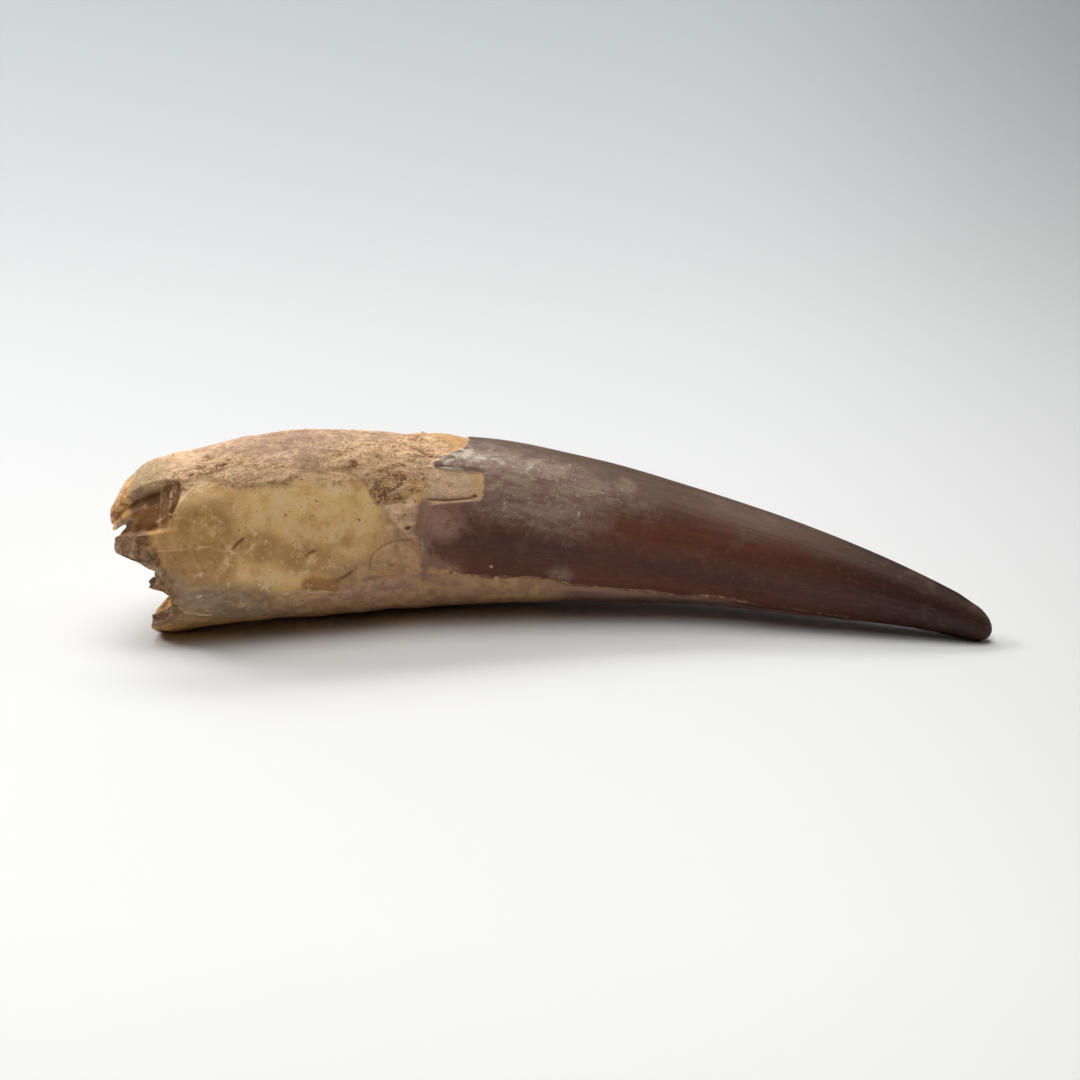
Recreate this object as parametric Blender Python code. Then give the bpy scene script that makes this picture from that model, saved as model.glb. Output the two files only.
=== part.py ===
"""A fossil spinosaur tooth lying on its side, root to the left (-X), tip to the right (+X).

The inner side of its curve faces the front (-Y), so that its middle lies further back than its ends.

The tooth is one closed surface, a grid of rows along it and columns round it. The rows run from the tip over
the outside to the broken end of the root, across the broken edge, and down the inside of the pulp cavity to its
floor. The shape is worked out in millimetres and put into the mesh in metres.
"""

from typing import NamedTuple

import bmesh
import bpy
import numpy as np

MM = 0.001  # metres in one of the millimetres below

# Driving dimensions
NAME = "fossil_tooth"
TIP_X = 65.0  # the tooth is 130 long, from x = -65 to x = 65
TIP_RADIUS = 2.4
ROOT_X = -60.0  # where the last row would end if the root had not broken unevenly
RAGGED_FROM_X = -45.5  # rows between here and the broken end are stretched to meet it
CAVITY_FLOOR_X = -42.5
WALL_BOTTOM = 2.2
WALL_SIDE = 3.0
BREAK_RELIEF = 0.7  # unevenness of the broken edge's face
BREAK_LUMP_LENGTH = 2.5

CAVITY_ROW_CROWDING = 1.2  # above 1, the cavity's rows lie closer together near its mouth
RAGGED_EASING = 1.5  # above 1, the stretch grows slowly at first

# Crown
ENAMEL_THICKNESS = 0.3
ENAMEL_EDGE = 0.7  # distance over which the enamel ends
CARINA_HEIGHT = 0.4  # the cutting ridge along the inner and the outer curve
CARINA_HALF_ANGLE = 5.0
MESIAL_CARINA_ANGLE = 95.0
DISTAL_CARINA_ANGLE = -74.0
CARINA_STARTS_X = -9.0
CARINA_GROWS_OVER = 20.0

# Root
LUMP_HEIGHT = 0.28
LUMP_LENGTH = 9.0
SMALL_LUMP_HEIGHT = 0.13
SMALL_LUMP_LENGTH = 3.6
ROOT_ENDS_X = -13.0
ROOT_FADES_OVER = 10.0
CRUST_THICKNESS = 0.35  # weathered crust that covers the top of the root
CRUST_BACK_ANGLE = 150.0
CRUST_BACK_FADE = 10.0
CRUST_EDGE_ANGLE = 3.5
CRUST_ENDS_X = -20.0
CRUST_END_FADE = 2.0
CRUST_WAVE_ANGLE = 4.0
CRUST_WAVE_LENGTH = 5.0

# Chip in the upper front of the broken end, where the outer layer is gone
CHIP_DEPTH = 1.65
CHIP_END_X = -56.0
CHIP_LOW_ANGLE = 27.0
CHIP_HIGH_ANGLE = 57.0
CHIP_WALL = 0.7  # length over which its right wall rises
CHIP_WALL_ANGLE = 4.0
CHIP_INNER_SHARE = 0.3  # share of the chip's depth by which the wall also sinks on its inside

# Grid
ROOT_ROWS = 29
CROWN_ROWS = 23
TIP_ROWS = 5
TIP_FIRST_ROW = 75.0  # degrees round the rounded tip, from where it meets the crown
CAVITY_ROWS = 8
FRONT_COLUMNS = 50
BACK_COLUMNS = 20
FRONT_LOW_ANGLE = -85.0
FRONT_HIGH_ANGLE = 115.0


class Station(NamedTuple):
    """The oval section at one place along the tooth."""

    x: float
    top: float
    bottom: float
    half_width: float
    middle_y: float


STATIONS = (
    Station(-65.0, 19.5, 5.8, 6.5, -0.9),
    Station(-63.0, 22.6, 2.9, 8.6, -0.8),
    Station(-60.0, 25.1, -0.4, 10.9, -0.6),
    Station(-57.0, 26.3, -1.1, 11.8, -0.3),
    Station(-53.0, 27.05, -0.5, 12.1, 0.4),
    Station(-46.4, 28.2, -0.1, 12.25, 2.2),
    Station(-37.7, 28.5, -0.2, 12.25, 5.1),
    Station(-31.0, 27.85, -0.3, 12.15, 7.3),
    Station(-23.1, 26.75, -0.2, 11.6, 9.6),
    Station(-8.9, 25.65, 0.0, 10.7, 11.6),
    Station(6.6, 22.25, 0.5, 9.5, 12.2),
    Station(22.1, 18.2, 0.9, 7.7, 11.0),
    Station(36.8, 14.55, 0.85, 6.1, 7.4),
    Station(51.8, 9.65, 0.8, 4.15, 3.6),
    Station(59.2, 6.7, 0.5, 3.0, 1.5),
    Station(65.0, 4.15, -0.45, 1.9, -0.4),
)

# Broken end of the root: angle round the tooth (0 front, 90 top, 180 back, -90 bottom) and x of the edge there
BROKEN_EDGE = (
    (-180.0, -55.5),
    (-150.0, -56.0),
    (-135.0, -57.3),
    (-120.0, -59.2),
    (-105.0, -60.2),
    (-90.0, -59.8),
    (-70.0, -58.6),
    (-60.0, -59.2),
    (-50.0, -59.0),
    (-43.0, -56.8),
    (-36.0, -55.3),
    (-20.0, -55.2),
    (-14.0, -56.4),
    (-10.5, -58.4),
    (-8.0, -57.2),
    (0.0, -56.9),
    (3.0, -58.4),
    (7.0, -60.0),
    (8.5, -63.5),
    (24.0, -63.6),
    (33.0, -62.1),
    (40.0, -62.2),
    (46.0, -64.3),
    (57.0, -65.0),
    (73.0, -65.0),
    (80.0, -64.2),
    (91.0, -63.6),
    (98.0, -61.8),
    (125.0, -60.2),
    (140.0, -58.8),
    (160.0, -57.0),
    (180.0, -55.5),
)

# Root-ward limit of the enamel: angle round the tooth and x where the enamel starts there
ENAMEL_LIMIT = (
    (-180.0, -18.1),
    (-140.0, -17.6),
    (-60.0, -19.1),
    (-25.0, -19.5),
    (0.0, -19.5),
    (9.0, -20.2),
    (20.0, -19.8),
    (28.0, -18.8),
    (31.0, -11.1),
    (35.0, -10.5),
    (52.0, -10.6),
    (55.0, -17.6),
    (60.0, -18.1),
    (66.0, -17.2),
    (72.0, -15.0),
    (78.0, -13.5),
    (92.0, -13.4),
    (115.0, -14.0),
    (140.0, -16.0),
    (180.0, -18.1),
)

# Bare strip under the crown, where the enamel is gone: x, angle of its front edge and angle of its back edge
BARE_STRIP = (
    (-26.0, -20.0, -150.0),
    (-15.0, -20.0, -145.0),
    (-9.0, -25.5, -140.0),
    (-3.0, -24.0, -134.0),
    (1.5, -31.0, -128.0),
    (14.0, -36.0, -112.0),
    (23.0, -46.0, -98.0),
    (38.5, -60.0, -86.0),
    (52.5, -68.0, -79.0),
    (58.0, -74.0, -74.0),
)

# Front edge of the crust on top of the root: x and angle
CRUST_EDGE = (
    (-65.0, 62.0),
    (-55.0, 56.0),
    (-51.0, 56.0),
    (-45.5, 45.0),
    (-40.5, 46.5),
    (-31.0, 50.0),
    (-28.0, 44.0),
    (-26.0, 30.0),
    (-23.0, 14.0),
    (-20.0, 9.0),
)


class Mark(NamedTuple):
    """A smooth lump or hollow on the outside; its rise is negative for a hollow."""

    x: float
    angle: float
    half_length: float
    half_breadth: float
    tilt: float
    rise: float


MARKS = (
    Mark(-18.0, 104.0, 5.5, 7.0, 0.0, 0.75),  # sandy lump on top, beside the enamel
    Mark(-22.4, 32.5, 3.9, 1.9, 19.0, -0.8),  # granular hollow beside the smooth patch
    Mark(-34.1, -24.0, 2.9, 1.9, -10.0, -0.4),  # sunken flake
    Mark(-40.6, 72.0, 8.0, 3.5, 4.0, -0.35),  # shallow trough in the crust
    Mark(-51.0, 30.0, 5.0, 4.0, 0.0, -0.3),  # dent beside the chip
)

TOOTH_COLOUR = (0.33, 0.19, 0.10)
TOOTH_ROUGHNESS = 0.55


def curve_through(points, column, x):
    """Smooth curve through one column of the points, read at x: cubic pieces with the points' mean slopes."""
    places = np.array([point[0] for point in points])
    values = np.array([point[column] for point in points])
    slopes = np.gradient(values, places)
    x = np.clip(x, places[0], places[-1])
    piece = np.clip(np.searchsorted(places, x, side="right") - 1, 0, len(places) - 2)
    length = places[piece + 1] - places[piece]
    t = (x - places[piece]) / length
    start = (1 + 2 * t) * (1 - t) ** 2 * values[piece] + t * (1 - t) ** 2 * length * slopes[piece]
    end = t**2 * (3 - 2 * t) * values[piece + 1] + t**2 * (t - 1) * length * slopes[piece + 1]
    return start + end


def broken_line(points, at):
    """Straight pieces through (place, value) points, read at the given places."""
    return np.interp(at, [point[0] for point in points], [point[1] for point in points])


def smooth_step(low, high, value):
    """0 below low, 1 above high, and a smooth S between them."""
    t = np.clip((value - low) / (high - low), 0.0, 1.0)
    return t * t * (3 - 2 * t)


def lattice(cells, seed):
    """Repeatable value from 0 to 1 for each whole-number cell (..., 3)."""
    cells = cells.astype(np.int64)
    mixed = cells[..., 0] * 374761393 + cells[..., 1] * 668265263 + cells[..., 2] * 1440662683 + seed * 69069
    mixed &= 0xFFFFFFFF
    mixed = ((mixed ^ (mixed >> 13)) * 1274126177) & 0xFFFFFFFF
    return ((mixed ^ (mixed >> 16)) & 0xFFFFFF) / 0xFFFFFF


def value_noise(points, length, seed):
    """Smooth noise from -1 to 1, with lumps of about the given length, at points (..., 3)."""
    cells = np.floor(points / length)
    t = points / length - cells
    t = t * t * (3 - 2 * t)
    total = 0.0
    for corner in np.ndindex(2, 2, 2):
        weights = np.where(np.array(corner) == 1, t, 1 - t)
        total = total + weights.prod(axis=-1) * lattice(cells + corner, seed)
    return 2 * total - 1


def turn(angle):
    """The same angle between -180 and 180 degrees."""
    return (angle + 180.0) % 360.0 - 180.0


def half_height(x):
    """Half of the section's height at x."""
    return (curve_through(STATIONS, 1, x) - curve_through(STATIONS, 2, x)) / 2


def middle_height(x):
    """Height of the section's middle at x."""
    return (curve_through(STATIONS, 1, x) + curve_through(STATIONS, 2, x)) / 2


def half_width(x):
    """Half of the section's width at x."""
    return curve_through(STATIONS, 3, x)


def middle_y(x):
    """How far back the section's middle lies at x, because of the tooth's curve."""
    return curve_through(STATIONS, 4, x)


def oval(x, angle, inset=0.0, share=1.0):
    """Points (..., 3) of the section at x: its oval moved inwards by inset, then shrunk to a share of its size."""
    turned = np.radians(angle)
    y = middle_y(x) - (half_width(x) - inset) * share * np.cos(turned)
    z = middle_height(x) + (half_height(x) - inset) * share * np.sin(turned)
    return np.stack([x + 0 * y, y, z], axis=-1)


def outward(x, angle):
    """Unit directions (..., 3) that point away from the section's oval, in its own plane."""
    turned = np.radians(angle)
    y = -np.cos(turned) / half_width(x)
    z = np.sin(turned) / half_height(x)
    size = np.hypot(y, z)
    return np.stack([0 * y, y / size, z / size], axis=-1)


def enamel(x, angle):
    """1 on the enamel and 0 off it, towards the root and on the bare strip under the crown."""
    limit = broken_line(ENAMEL_LIMIT, turn(angle))
    radius = (half_width(x) + half_height(x)) / 2
    above_strip = np.radians(turn(angle) - curve_through(BARE_STRIP, 1, x)) * radius
    behind_strip = np.radians(curve_through(BARE_STRIP, 2, x) - turn(angle)) * radius
    inside = np.minimum(x - limit, np.maximum(above_strip, behind_strip))
    return smooth_step(-ENAMEL_EDGE / 2, ENAMEL_EDGE / 2, inside)


def carina(x, angle, centre):
    """Height of a cutting ridge: a bell across it, growing from where it starts towards the tip."""
    across = np.exp(-((turn(angle - centre) / CARINA_HALF_ANGLE) ** 2))
    along = smooth_step(CARINA_STARTS_X, CARINA_STARTS_X + CARINA_GROWS_OVER, x)
    return CARINA_HEIGHT * across * along


def crust(x, angle):
    """1 on the crust that covers the top of the root and 0 off it, with a wavy edge."""
    place = np.stack([x, 0 * x, 0 * x], axis=-1)
    edge = broken_line(CRUST_EDGE, x) + CRUST_WAVE_ANGLE * value_noise(place, CRUST_WAVE_LENGTH, 5)
    front = smooth_step(edge - CRUST_EDGE_ANGLE, edge + CRUST_EDGE_ANGLE, turn(angle))
    back = 1 - smooth_step(CRUST_BACK_ANGLE, CRUST_BACK_ANGLE + CRUST_BACK_FADE, np.abs(turn(angle)))
    return front * back * (1 - smooth_step(CRUST_ENDS_X - CRUST_END_FADE, CRUST_ENDS_X, x))


def chip(x, angle):
    """1 inside the chip in the upper front of the broken end and 0 outside it."""
    along = 1 - smooth_step(CHIP_END_X - CHIP_WALL, CHIP_END_X, x)
    low = smooth_step(CHIP_LOW_ANGLE - CHIP_WALL_ANGLE, CHIP_LOW_ANGLE, turn(angle))
    high = 1 - smooth_step(CHIP_HIGH_ANGLE, CHIP_HIGH_ANGLE + CHIP_WALL_ANGLE, turn(angle))
    return along * low * high


def mark_rise(mark, x, angle):
    """Rise of one mark: a dome (1 - r^2)^2 on an ellipse that is turned by the mark's tilt."""
    radius = (half_width(x) + half_height(x)) / 2
    along = x - mark.x
    around = np.radians(turn(angle - mark.angle)) * radius
    tilt = np.radians(mark.tilt)
    u = (along * np.cos(tilt) + around * np.sin(tilt)) / mark.half_length
    v = (around * np.cos(tilt) - along * np.sin(tilt)) / mark.half_breadth
    return mark.rise * np.clip(1 - u**2 - v**2, 0.0, 1.0) ** 2


def outer_surface(x, angle):
    """Points (..., 3) of the outside: the oval raised along its outward direction by all that stands on it."""
    base = oval(x, angle)
    root = 1 - smooth_step(ROOT_ENDS_X - ROOT_FADES_OVER, ROOT_ENDS_X, x)
    rise = LUMP_HEIGHT * root * value_noise(base, LUMP_LENGTH, 1)
    rise += SMALL_LUMP_HEIGHT * root * value_noise(base, SMALL_LUMP_LENGTH, 2)
    rise += ENAMEL_THICKNESS * (enamel(x, angle) - 1)
    rise += carina(x, angle, MESIAL_CARINA_ANGLE) + carina(x, angle, DISTAL_CARINA_ANGLE)
    rise += CRUST_THICKNESS * crust(x, angle) - CHIP_DEPTH * chip(x, angle)
    for mark in MARKS:
        rise += mark_rise(mark, x, angle)
    return base + rise[..., None] * outward(x, angle)


def wall(angle):
    """Thickness of the root's wall at the broken end: thinner towards the bottom than on the sides and top."""
    down = np.clip(-np.sin(np.radians(angle)), 0.0, 1.0)
    return WALL_SIDE + (WALL_BOTTOM - WALL_SIDE) * down


def cavity_surface(depth, angle):
    """Points (..., 3) of the pulp cavity at a depth from 0, at the broken edge, to 1, at its floor."""
    mouth_x = broken_line(BROKEN_EDGE, turn(angle))
    x = mouth_x + (CAVITY_FLOOR_X - mouth_x) * depth
    inset = wall(angle) + CHIP_INNER_SHARE * CHIP_DEPTH * chip(x, angle)
    return oval(x, angle, inset=inset, share=np.sqrt(1 - depth**2))


def column_angles():
    """Angles of the columns, closer together on the front than on the back."""
    front = np.linspace(FRONT_LOW_ANGLE, FRONT_HIGH_ANGLE, FRONT_COLUMNS, endpoint=False)
    back = np.linspace(FRONT_HIGH_ANGLE, FRONT_LOW_ANGLE + 360.0, BACK_COLUMNS, endpoint=False)
    return np.concatenate([front, back])


def tooth_rows():
    """All rows of the closed surface but the two poles, from the tip to the floor of the cavity, in millimetres."""
    angle = column_angles()[None, :]
    cap = np.radians(np.linspace(TIP_FIRST_ROW, 0.0, TIP_ROWS))[:, None]
    cap_x = TIP_X - TIP_RADIUS + TIP_RADIUS * np.sin(cap)
    tip = oval(cap_x, angle, share=np.cos(cap))

    crown_x = np.linspace(TIP_X - TIP_RADIUS, ROOT_ENDS_X, CROWN_ROWS + 1)[1:, None]
    root_x = np.linspace(ROOT_ENDS_X, ROOT_X, ROOT_ROWS + 1)[1:, None]
    nominal = np.concatenate([crown_x, root_x])
    stretch = np.clip((RAGGED_FROM_X - nominal) / (RAGGED_FROM_X - ROOT_X), 0.0, 1.0) ** RAGGED_EASING
    x = nominal + stretch * (broken_line(BROKEN_EDGE, turn(angle)) - ROOT_X)
    outside = outer_surface(x, np.broadcast_to(angle, x.shape))

    depth = np.linspace(0.0, 1.0, CAVITY_ROWS + 1)[:-1, None] ** CAVITY_ROW_CROWDING
    cavity = cavity_surface(depth, angle)
    break_face = (outside[-1:] + cavity[:1]) / 2
    break_face[..., 0] += BREAK_RELIEF * value_noise(break_face, BREAK_LUMP_LENGTH, 3)
    rows = np.concatenate([tip, outside, break_face, cavity])
    rows[..., 2] = np.maximum(rows[..., 2], 0.0)
    return rows


def closed_mesh(rows, first_pole, last_pole):
    """A closed mesh from a grid of rows, each a ring, with a fan to a pole at either end."""
    shape = bmesh.new()
    rings = [[shape.verts.new(point) for point in row] for row in rows * MM]
    first = shape.verts.new(first_pole * MM)
    last = shape.verts.new(last_pole * MM)
    count = len(rings[0])
    for i in range(count):
        j = (i + 1) % count
        shape.faces.new((first, rings[0][i], rings[0][j]))
        shape.faces.new((last, rings[-1][j], rings[-1][i]))
        for ring, following in zip(rings, rings[1:]):
            shape.faces.new((ring[i], following[i], following[j], ring[j]))
    bmesh.ops.triangulate(shape, faces=shape.faces)
    bmesh.ops.recalc_face_normals(shape, faces=shape.faces)
    mesh = bpy.data.meshes.new(NAME)
    shape.to_mesh(mesh)
    shape.free()
    return mesh


def tooth_material():
    """Brown satin stone."""
    material = bpy.data.materials.new(NAME)
    material.use_nodes = True
    shader = material.node_tree.nodes["Principled BSDF"]
    shader.inputs["Base Color"].default_value = (*TOOTH_COLOUR, 1.0)
    shader.inputs["Roughness"].default_value = TOOTH_ROUGHNESS
    shader.inputs["Metallic"].default_value = 0.0
    return material


def build_tooth():
    """Adds the tooth, with its origin on the table under the middle of its box."""
    rows = tooth_rows()
    floor_x = np.array(CAVITY_FLOOR_X)
    tip_pole = np.array([TIP_X, rows[0, :, 1].mean(), rows[0, :, 2].mean()])
    floor_pole = np.array([CAVITY_FLOOR_X, middle_y(floor_x), middle_height(floor_x)])
    points = np.concatenate([rows.reshape(-1, 3), tip_pole[None, :]])
    origin = (points.min(axis=0) + points.max(axis=0)) / 2 * np.array([1.0, 1.0, 0.0])
    mesh = closed_mesh(rows - origin, tip_pole - origin, floor_pole - origin)
    mesh.shade_smooth()
    mesh.materials.append(tooth_material())
    tooth = bpy.data.objects.new(NAME, mesh)
    collection = bpy.data.collections.new("fossil_spinosaur_tooth")
    bpy.context.scene.collection.children.link(collection)
    collection.objects.link(tooth)


for old in list(bpy.data.objects):
    bpy.data.objects.remove(old, do_unlink=True)
build_tooth()
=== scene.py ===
"""The looks of a fossil spinosaur tooth that lies on its side, root to the left and tip to the right.

The tooth is one skin: a grid of rows along it and columns round it, from the tip over the outside to the
broken end of the root, across the break and down the pulp cavity. Its shape has the solid's sizes, in
millimetres, with the fossil's fine relief on top. Smooth fields kept on the skin say where the enamel, the
crust and each stain lie, and the material turns them into colour, gloss and grain. Grains of sand that
still cling to the root are a second mesh.
"""

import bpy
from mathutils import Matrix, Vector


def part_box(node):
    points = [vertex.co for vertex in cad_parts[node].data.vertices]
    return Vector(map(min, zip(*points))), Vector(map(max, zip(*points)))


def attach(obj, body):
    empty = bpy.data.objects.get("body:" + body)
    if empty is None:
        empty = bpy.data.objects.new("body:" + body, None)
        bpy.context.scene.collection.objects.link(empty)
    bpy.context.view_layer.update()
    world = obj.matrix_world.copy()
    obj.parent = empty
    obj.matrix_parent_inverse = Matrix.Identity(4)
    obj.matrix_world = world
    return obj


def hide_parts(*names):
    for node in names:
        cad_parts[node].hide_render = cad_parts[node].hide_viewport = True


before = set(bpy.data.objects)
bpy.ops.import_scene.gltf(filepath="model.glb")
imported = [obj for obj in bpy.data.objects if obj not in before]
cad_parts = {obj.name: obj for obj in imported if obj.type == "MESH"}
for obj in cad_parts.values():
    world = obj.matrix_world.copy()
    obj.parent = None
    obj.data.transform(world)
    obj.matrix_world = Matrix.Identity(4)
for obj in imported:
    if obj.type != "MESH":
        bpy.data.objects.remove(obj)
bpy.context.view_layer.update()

import logging
from dataclasses import dataclass, field
from enum import Enum
from typing import NamedTuple

import bpy
import numpy as np
from mathutils import Matrix, Vector

MM = 0.001  # metres in one of the form's millimetres
TOOTH_NODE = "fossil_tooth"
DEPTH_REACH = 5.0  # millimetres inside or outside an area, past which its depth isn't counted
OFF_STAIN = -4.0  # depth of a place that no patch of a stain comes near
DEEP_IN_STAIN = 6.0
FAR_FROM_EDGE = 30.0  # likewise, millimetres from the broken edge
Array = np.ndarray
Limits = tuple[float, float]
Socket = bpy.types.NodeSocket


# -------- small mathematics


def smooth_step(low: float | Array, high: float | Array, value: Array) -> Array:
    """A smooth S, 3t^2 - 2t^3, from 0 where the value is low to 1 where it is high."""
    t = np.clip((value - low) / (high - low), 0.0, 1.0)
    return t * t * (3 - 2 * t)


def turn(angle: Array) -> Array:
    """The same angle between -180 and 180 degrees."""
    return (angle + 180.0) % 360.0 - 180.0


def bell(value: Array, width: float) -> Array:
    """A bell, exp(-(value / width)^2)."""
    return np.exp(-((value / width) ** 2))


def within_reach(depth: Array) -> Array:
    """A depth in millimetres, kept from -DEPTH_REACH to DEPTH_REACH."""
    return np.clip(depth, -DEPTH_REACH, DEPTH_REACH)


class Noise:
    """Repeatable noise on a lattice of whole numbers, the same on every run."""

    @staticmethod
    def lattice(cells: Array, seed: int) -> Array:
        """A value from 0 to 1 for each whole-number cell, by mixing the cell's bits.

        Args:
            cells: whole numbers (..., 3).
            seed: chooses one noise of many.

        Returns:
            Values (...).
        """
        cells = cells.astype(np.int64)
        mixed = cells @ np.array([374761393, 668265263, 1440662683]) + seed * 69069
        mixed &= 0xFFFFFFFF
        mixed = ((mixed ^ (mixed >> 13)) * 1274126177) & 0xFFFFFFFF
        return ((mixed ^ (mixed >> 16)) & 0xFFFFFF) / 0xFFFFFF

    @classmethod
    def value(cls, points: Array, length: float, seed: int) -> Array:
        """Smooth noise: the corners of each cell weighted by an S along each axis.

        Args:
            points: places (..., 3).
            length: size of one lump, in the points' unit.
            seed: chooses one noise of many.

        Returns:
            Values from -1 to 1.
        """
        cells = np.floor(points / length)
        t = points / length - cells
        t = t * t * (3 - 2 * t)
        total = np.zeros(points.shape[:-1])
        for corner in np.ndindex(2, 2, 2):
            weights = np.where(np.array(corner) == 1, t, 1 - t)
            total += weights.prod(axis=-1) * cls.lattice(cells + corner, seed)
        return 2 * total - 1

    @classmethod
    def fractal(cls, points: Array, length: float, octaves: int, seed: int) -> Array:
        """Sum of smooth noises, each half as long and 0.55 as strong as the last.

        Args:
            points: places (..., 3).
            length: size of the largest lumps.
            octaves: how many noises are added.
            seed: chooses one noise of many.

        Returns:
            Values from about -1 to 1.
        """
        total, strength, whole = np.zeros(points.shape[:-1]), 1.0, 0.0
        for octave in range(octaves):
            total += strength * cls.value(points, length / 2**octave, seed + octave)
            whole += strength
            strength *= 0.55
        return total / whole

    @classmethod
    def pits(cls, points: Array, length: float, radius: float, share: float, seed: int) -> Array:
        """Round dents (1 - r^2)^2 about one random point in each chosen cell of a cubic lattice.

        Args:
            points: places (..., 3).
            length: side of a cell.
            radius: radius of a dent, at most half a cell.
            share: share of the cells that hold a dent.
            seed: chooses one pattern of many.

        Returns:
            Values from 0, outside all dents, to 1 at a dent's middle.
        """
        home = np.floor(points / length)
        deepest = np.zeros(points.shape[:-1])
        for step in np.ndindex(3, 3, 3):
            cell = home + np.array(step) - 1
            centre = [cls.lattice(cell, seed + axis) for axis in range(3)]
            away = points - (cell + np.stack(centre, axis=-1)) * length
            size = radius * (0.5 + 0.5 * cls.lattice(cell, seed + 3))
            dent = np.clip(1 - (away**2).sum(axis=-1) / size**2, 0.0, 1.0) ** 2
            deepest = np.maximum(deepest, dent * (cls.lattice(cell, seed + 4) < share))
        return deepest


class Ripple(NamedTuple):
    """Fractal lumps in millimetres: height, length of the largest, octaves and seed."""

    height: float
    length: float
    octaves: int
    seed: int

    def rise(self, points: Array) -> Array:
        """Height of the lumps at some points."""
        return self.height * Noise.fractal(points, self.length, self.octaves, self.seed)


class PitField(NamedTuple):
    """Scattered round pits: depth, cell, radius, the share of cells with one, and their darkness: dirt and
    painted shade.
    """

    depth: float
    cell: float
    radius: float
    share: float
    dirt_shade_glint: float
    seed: int

    def shape(self, points: Array) -> Array:
        """1 at the middle of a pit and 0 outside all of them."""
        return Noise.pits(points, self.cell, self.radius, self.share, self.seed)


@dataclass(frozen=True)
class Profile:
    """A curve given by a few points: each holds a place and one or more values there."""

    points: tuple[tuple[float, ...], ...]

    def column(self, column: int) -> Array:
        """One value of every point."""
        return np.array([point[column] for point in self.points])

    def straight(self, at: Array, column: int = 1) -> Array:
        """One value at some places, by straight pieces between the points."""
        return np.interp(at, self.column(0), self.column(column))

    def smooth(self, at: Array, column: int = 1) -> Array:
        """Cubic pieces between the points, with the points' mean slopes.

        Args:
            at: places to read.
            column: which value of the points.

        Returns:
            Values at those places.
        """
        places, values = self.column(0), self.column(column)
        slopes = np.gradient(values, places)
        at = np.clip(at, places[0], places[-1])
        piece = np.clip(np.searchsorted(places, at, side="right") - 1, 0, len(places) - 2)
        length = places[piece + 1] - places[piece]
        t = (at - places[piece]) / length
        start = (1 + 2 * t) * (1 - t) ** 2 * values[piece] + t * (1 - t) ** 2 * length * slopes[piece]
        end = t**2 * (3 - 2 * t) * values[piece + 1] + t**2 * (t - 1) * length * slopes[piece + 1]
        return start + end


# -------- marks and stains on the skin


class Mark(NamedTuple):
    """A smooth lump, or a hollow if its rise is negative, on the outside. Millimetres and degrees."""

    x: float
    angle: float
    half_length: float
    half_breadth: float
    tilt: float
    rise: float


class Stain(Enum):
    """The patches of the skin that differ in colour or gloss."""

    YELLOW = "stain_yellow"
    BROWN = "stain_brown"
    GREY = "stain_grey"
    TAN = "stain_tan"
    UMBER = "stain_umber"
    FLAKE = "stain_flake"
    SANDY = "stain_sandy"
    HOLLOW = "stain_hollow"
    PINK = "stain_pink"
    BAND = "stain_band"
    FILM = "stain_film"
    # pale silvery film on the enamel with painted glints
    SILVER = "stain_silver"
    PURPLE = "stain_purple"
    RED = "stain_red"
    DARK = "stain_dark"
    BUFF = "stain_buff"
    OCHRE = "stain_ochre"
    ASHEN = "stain_ashen"
    # small white marks, partly painted glints
    WHITE = "stain_white"
    GLAZE = "stain_glaze"


class Patch(NamedTuple):
    """One soft patch of a stain: a super-ellipse on the unrolled skin. Millimetres and degrees."""

    x: float
    angle: float
    half_length: float
    half_breadth: float
    tilt: float = 0.0
    squareness: float = 2.0


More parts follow.
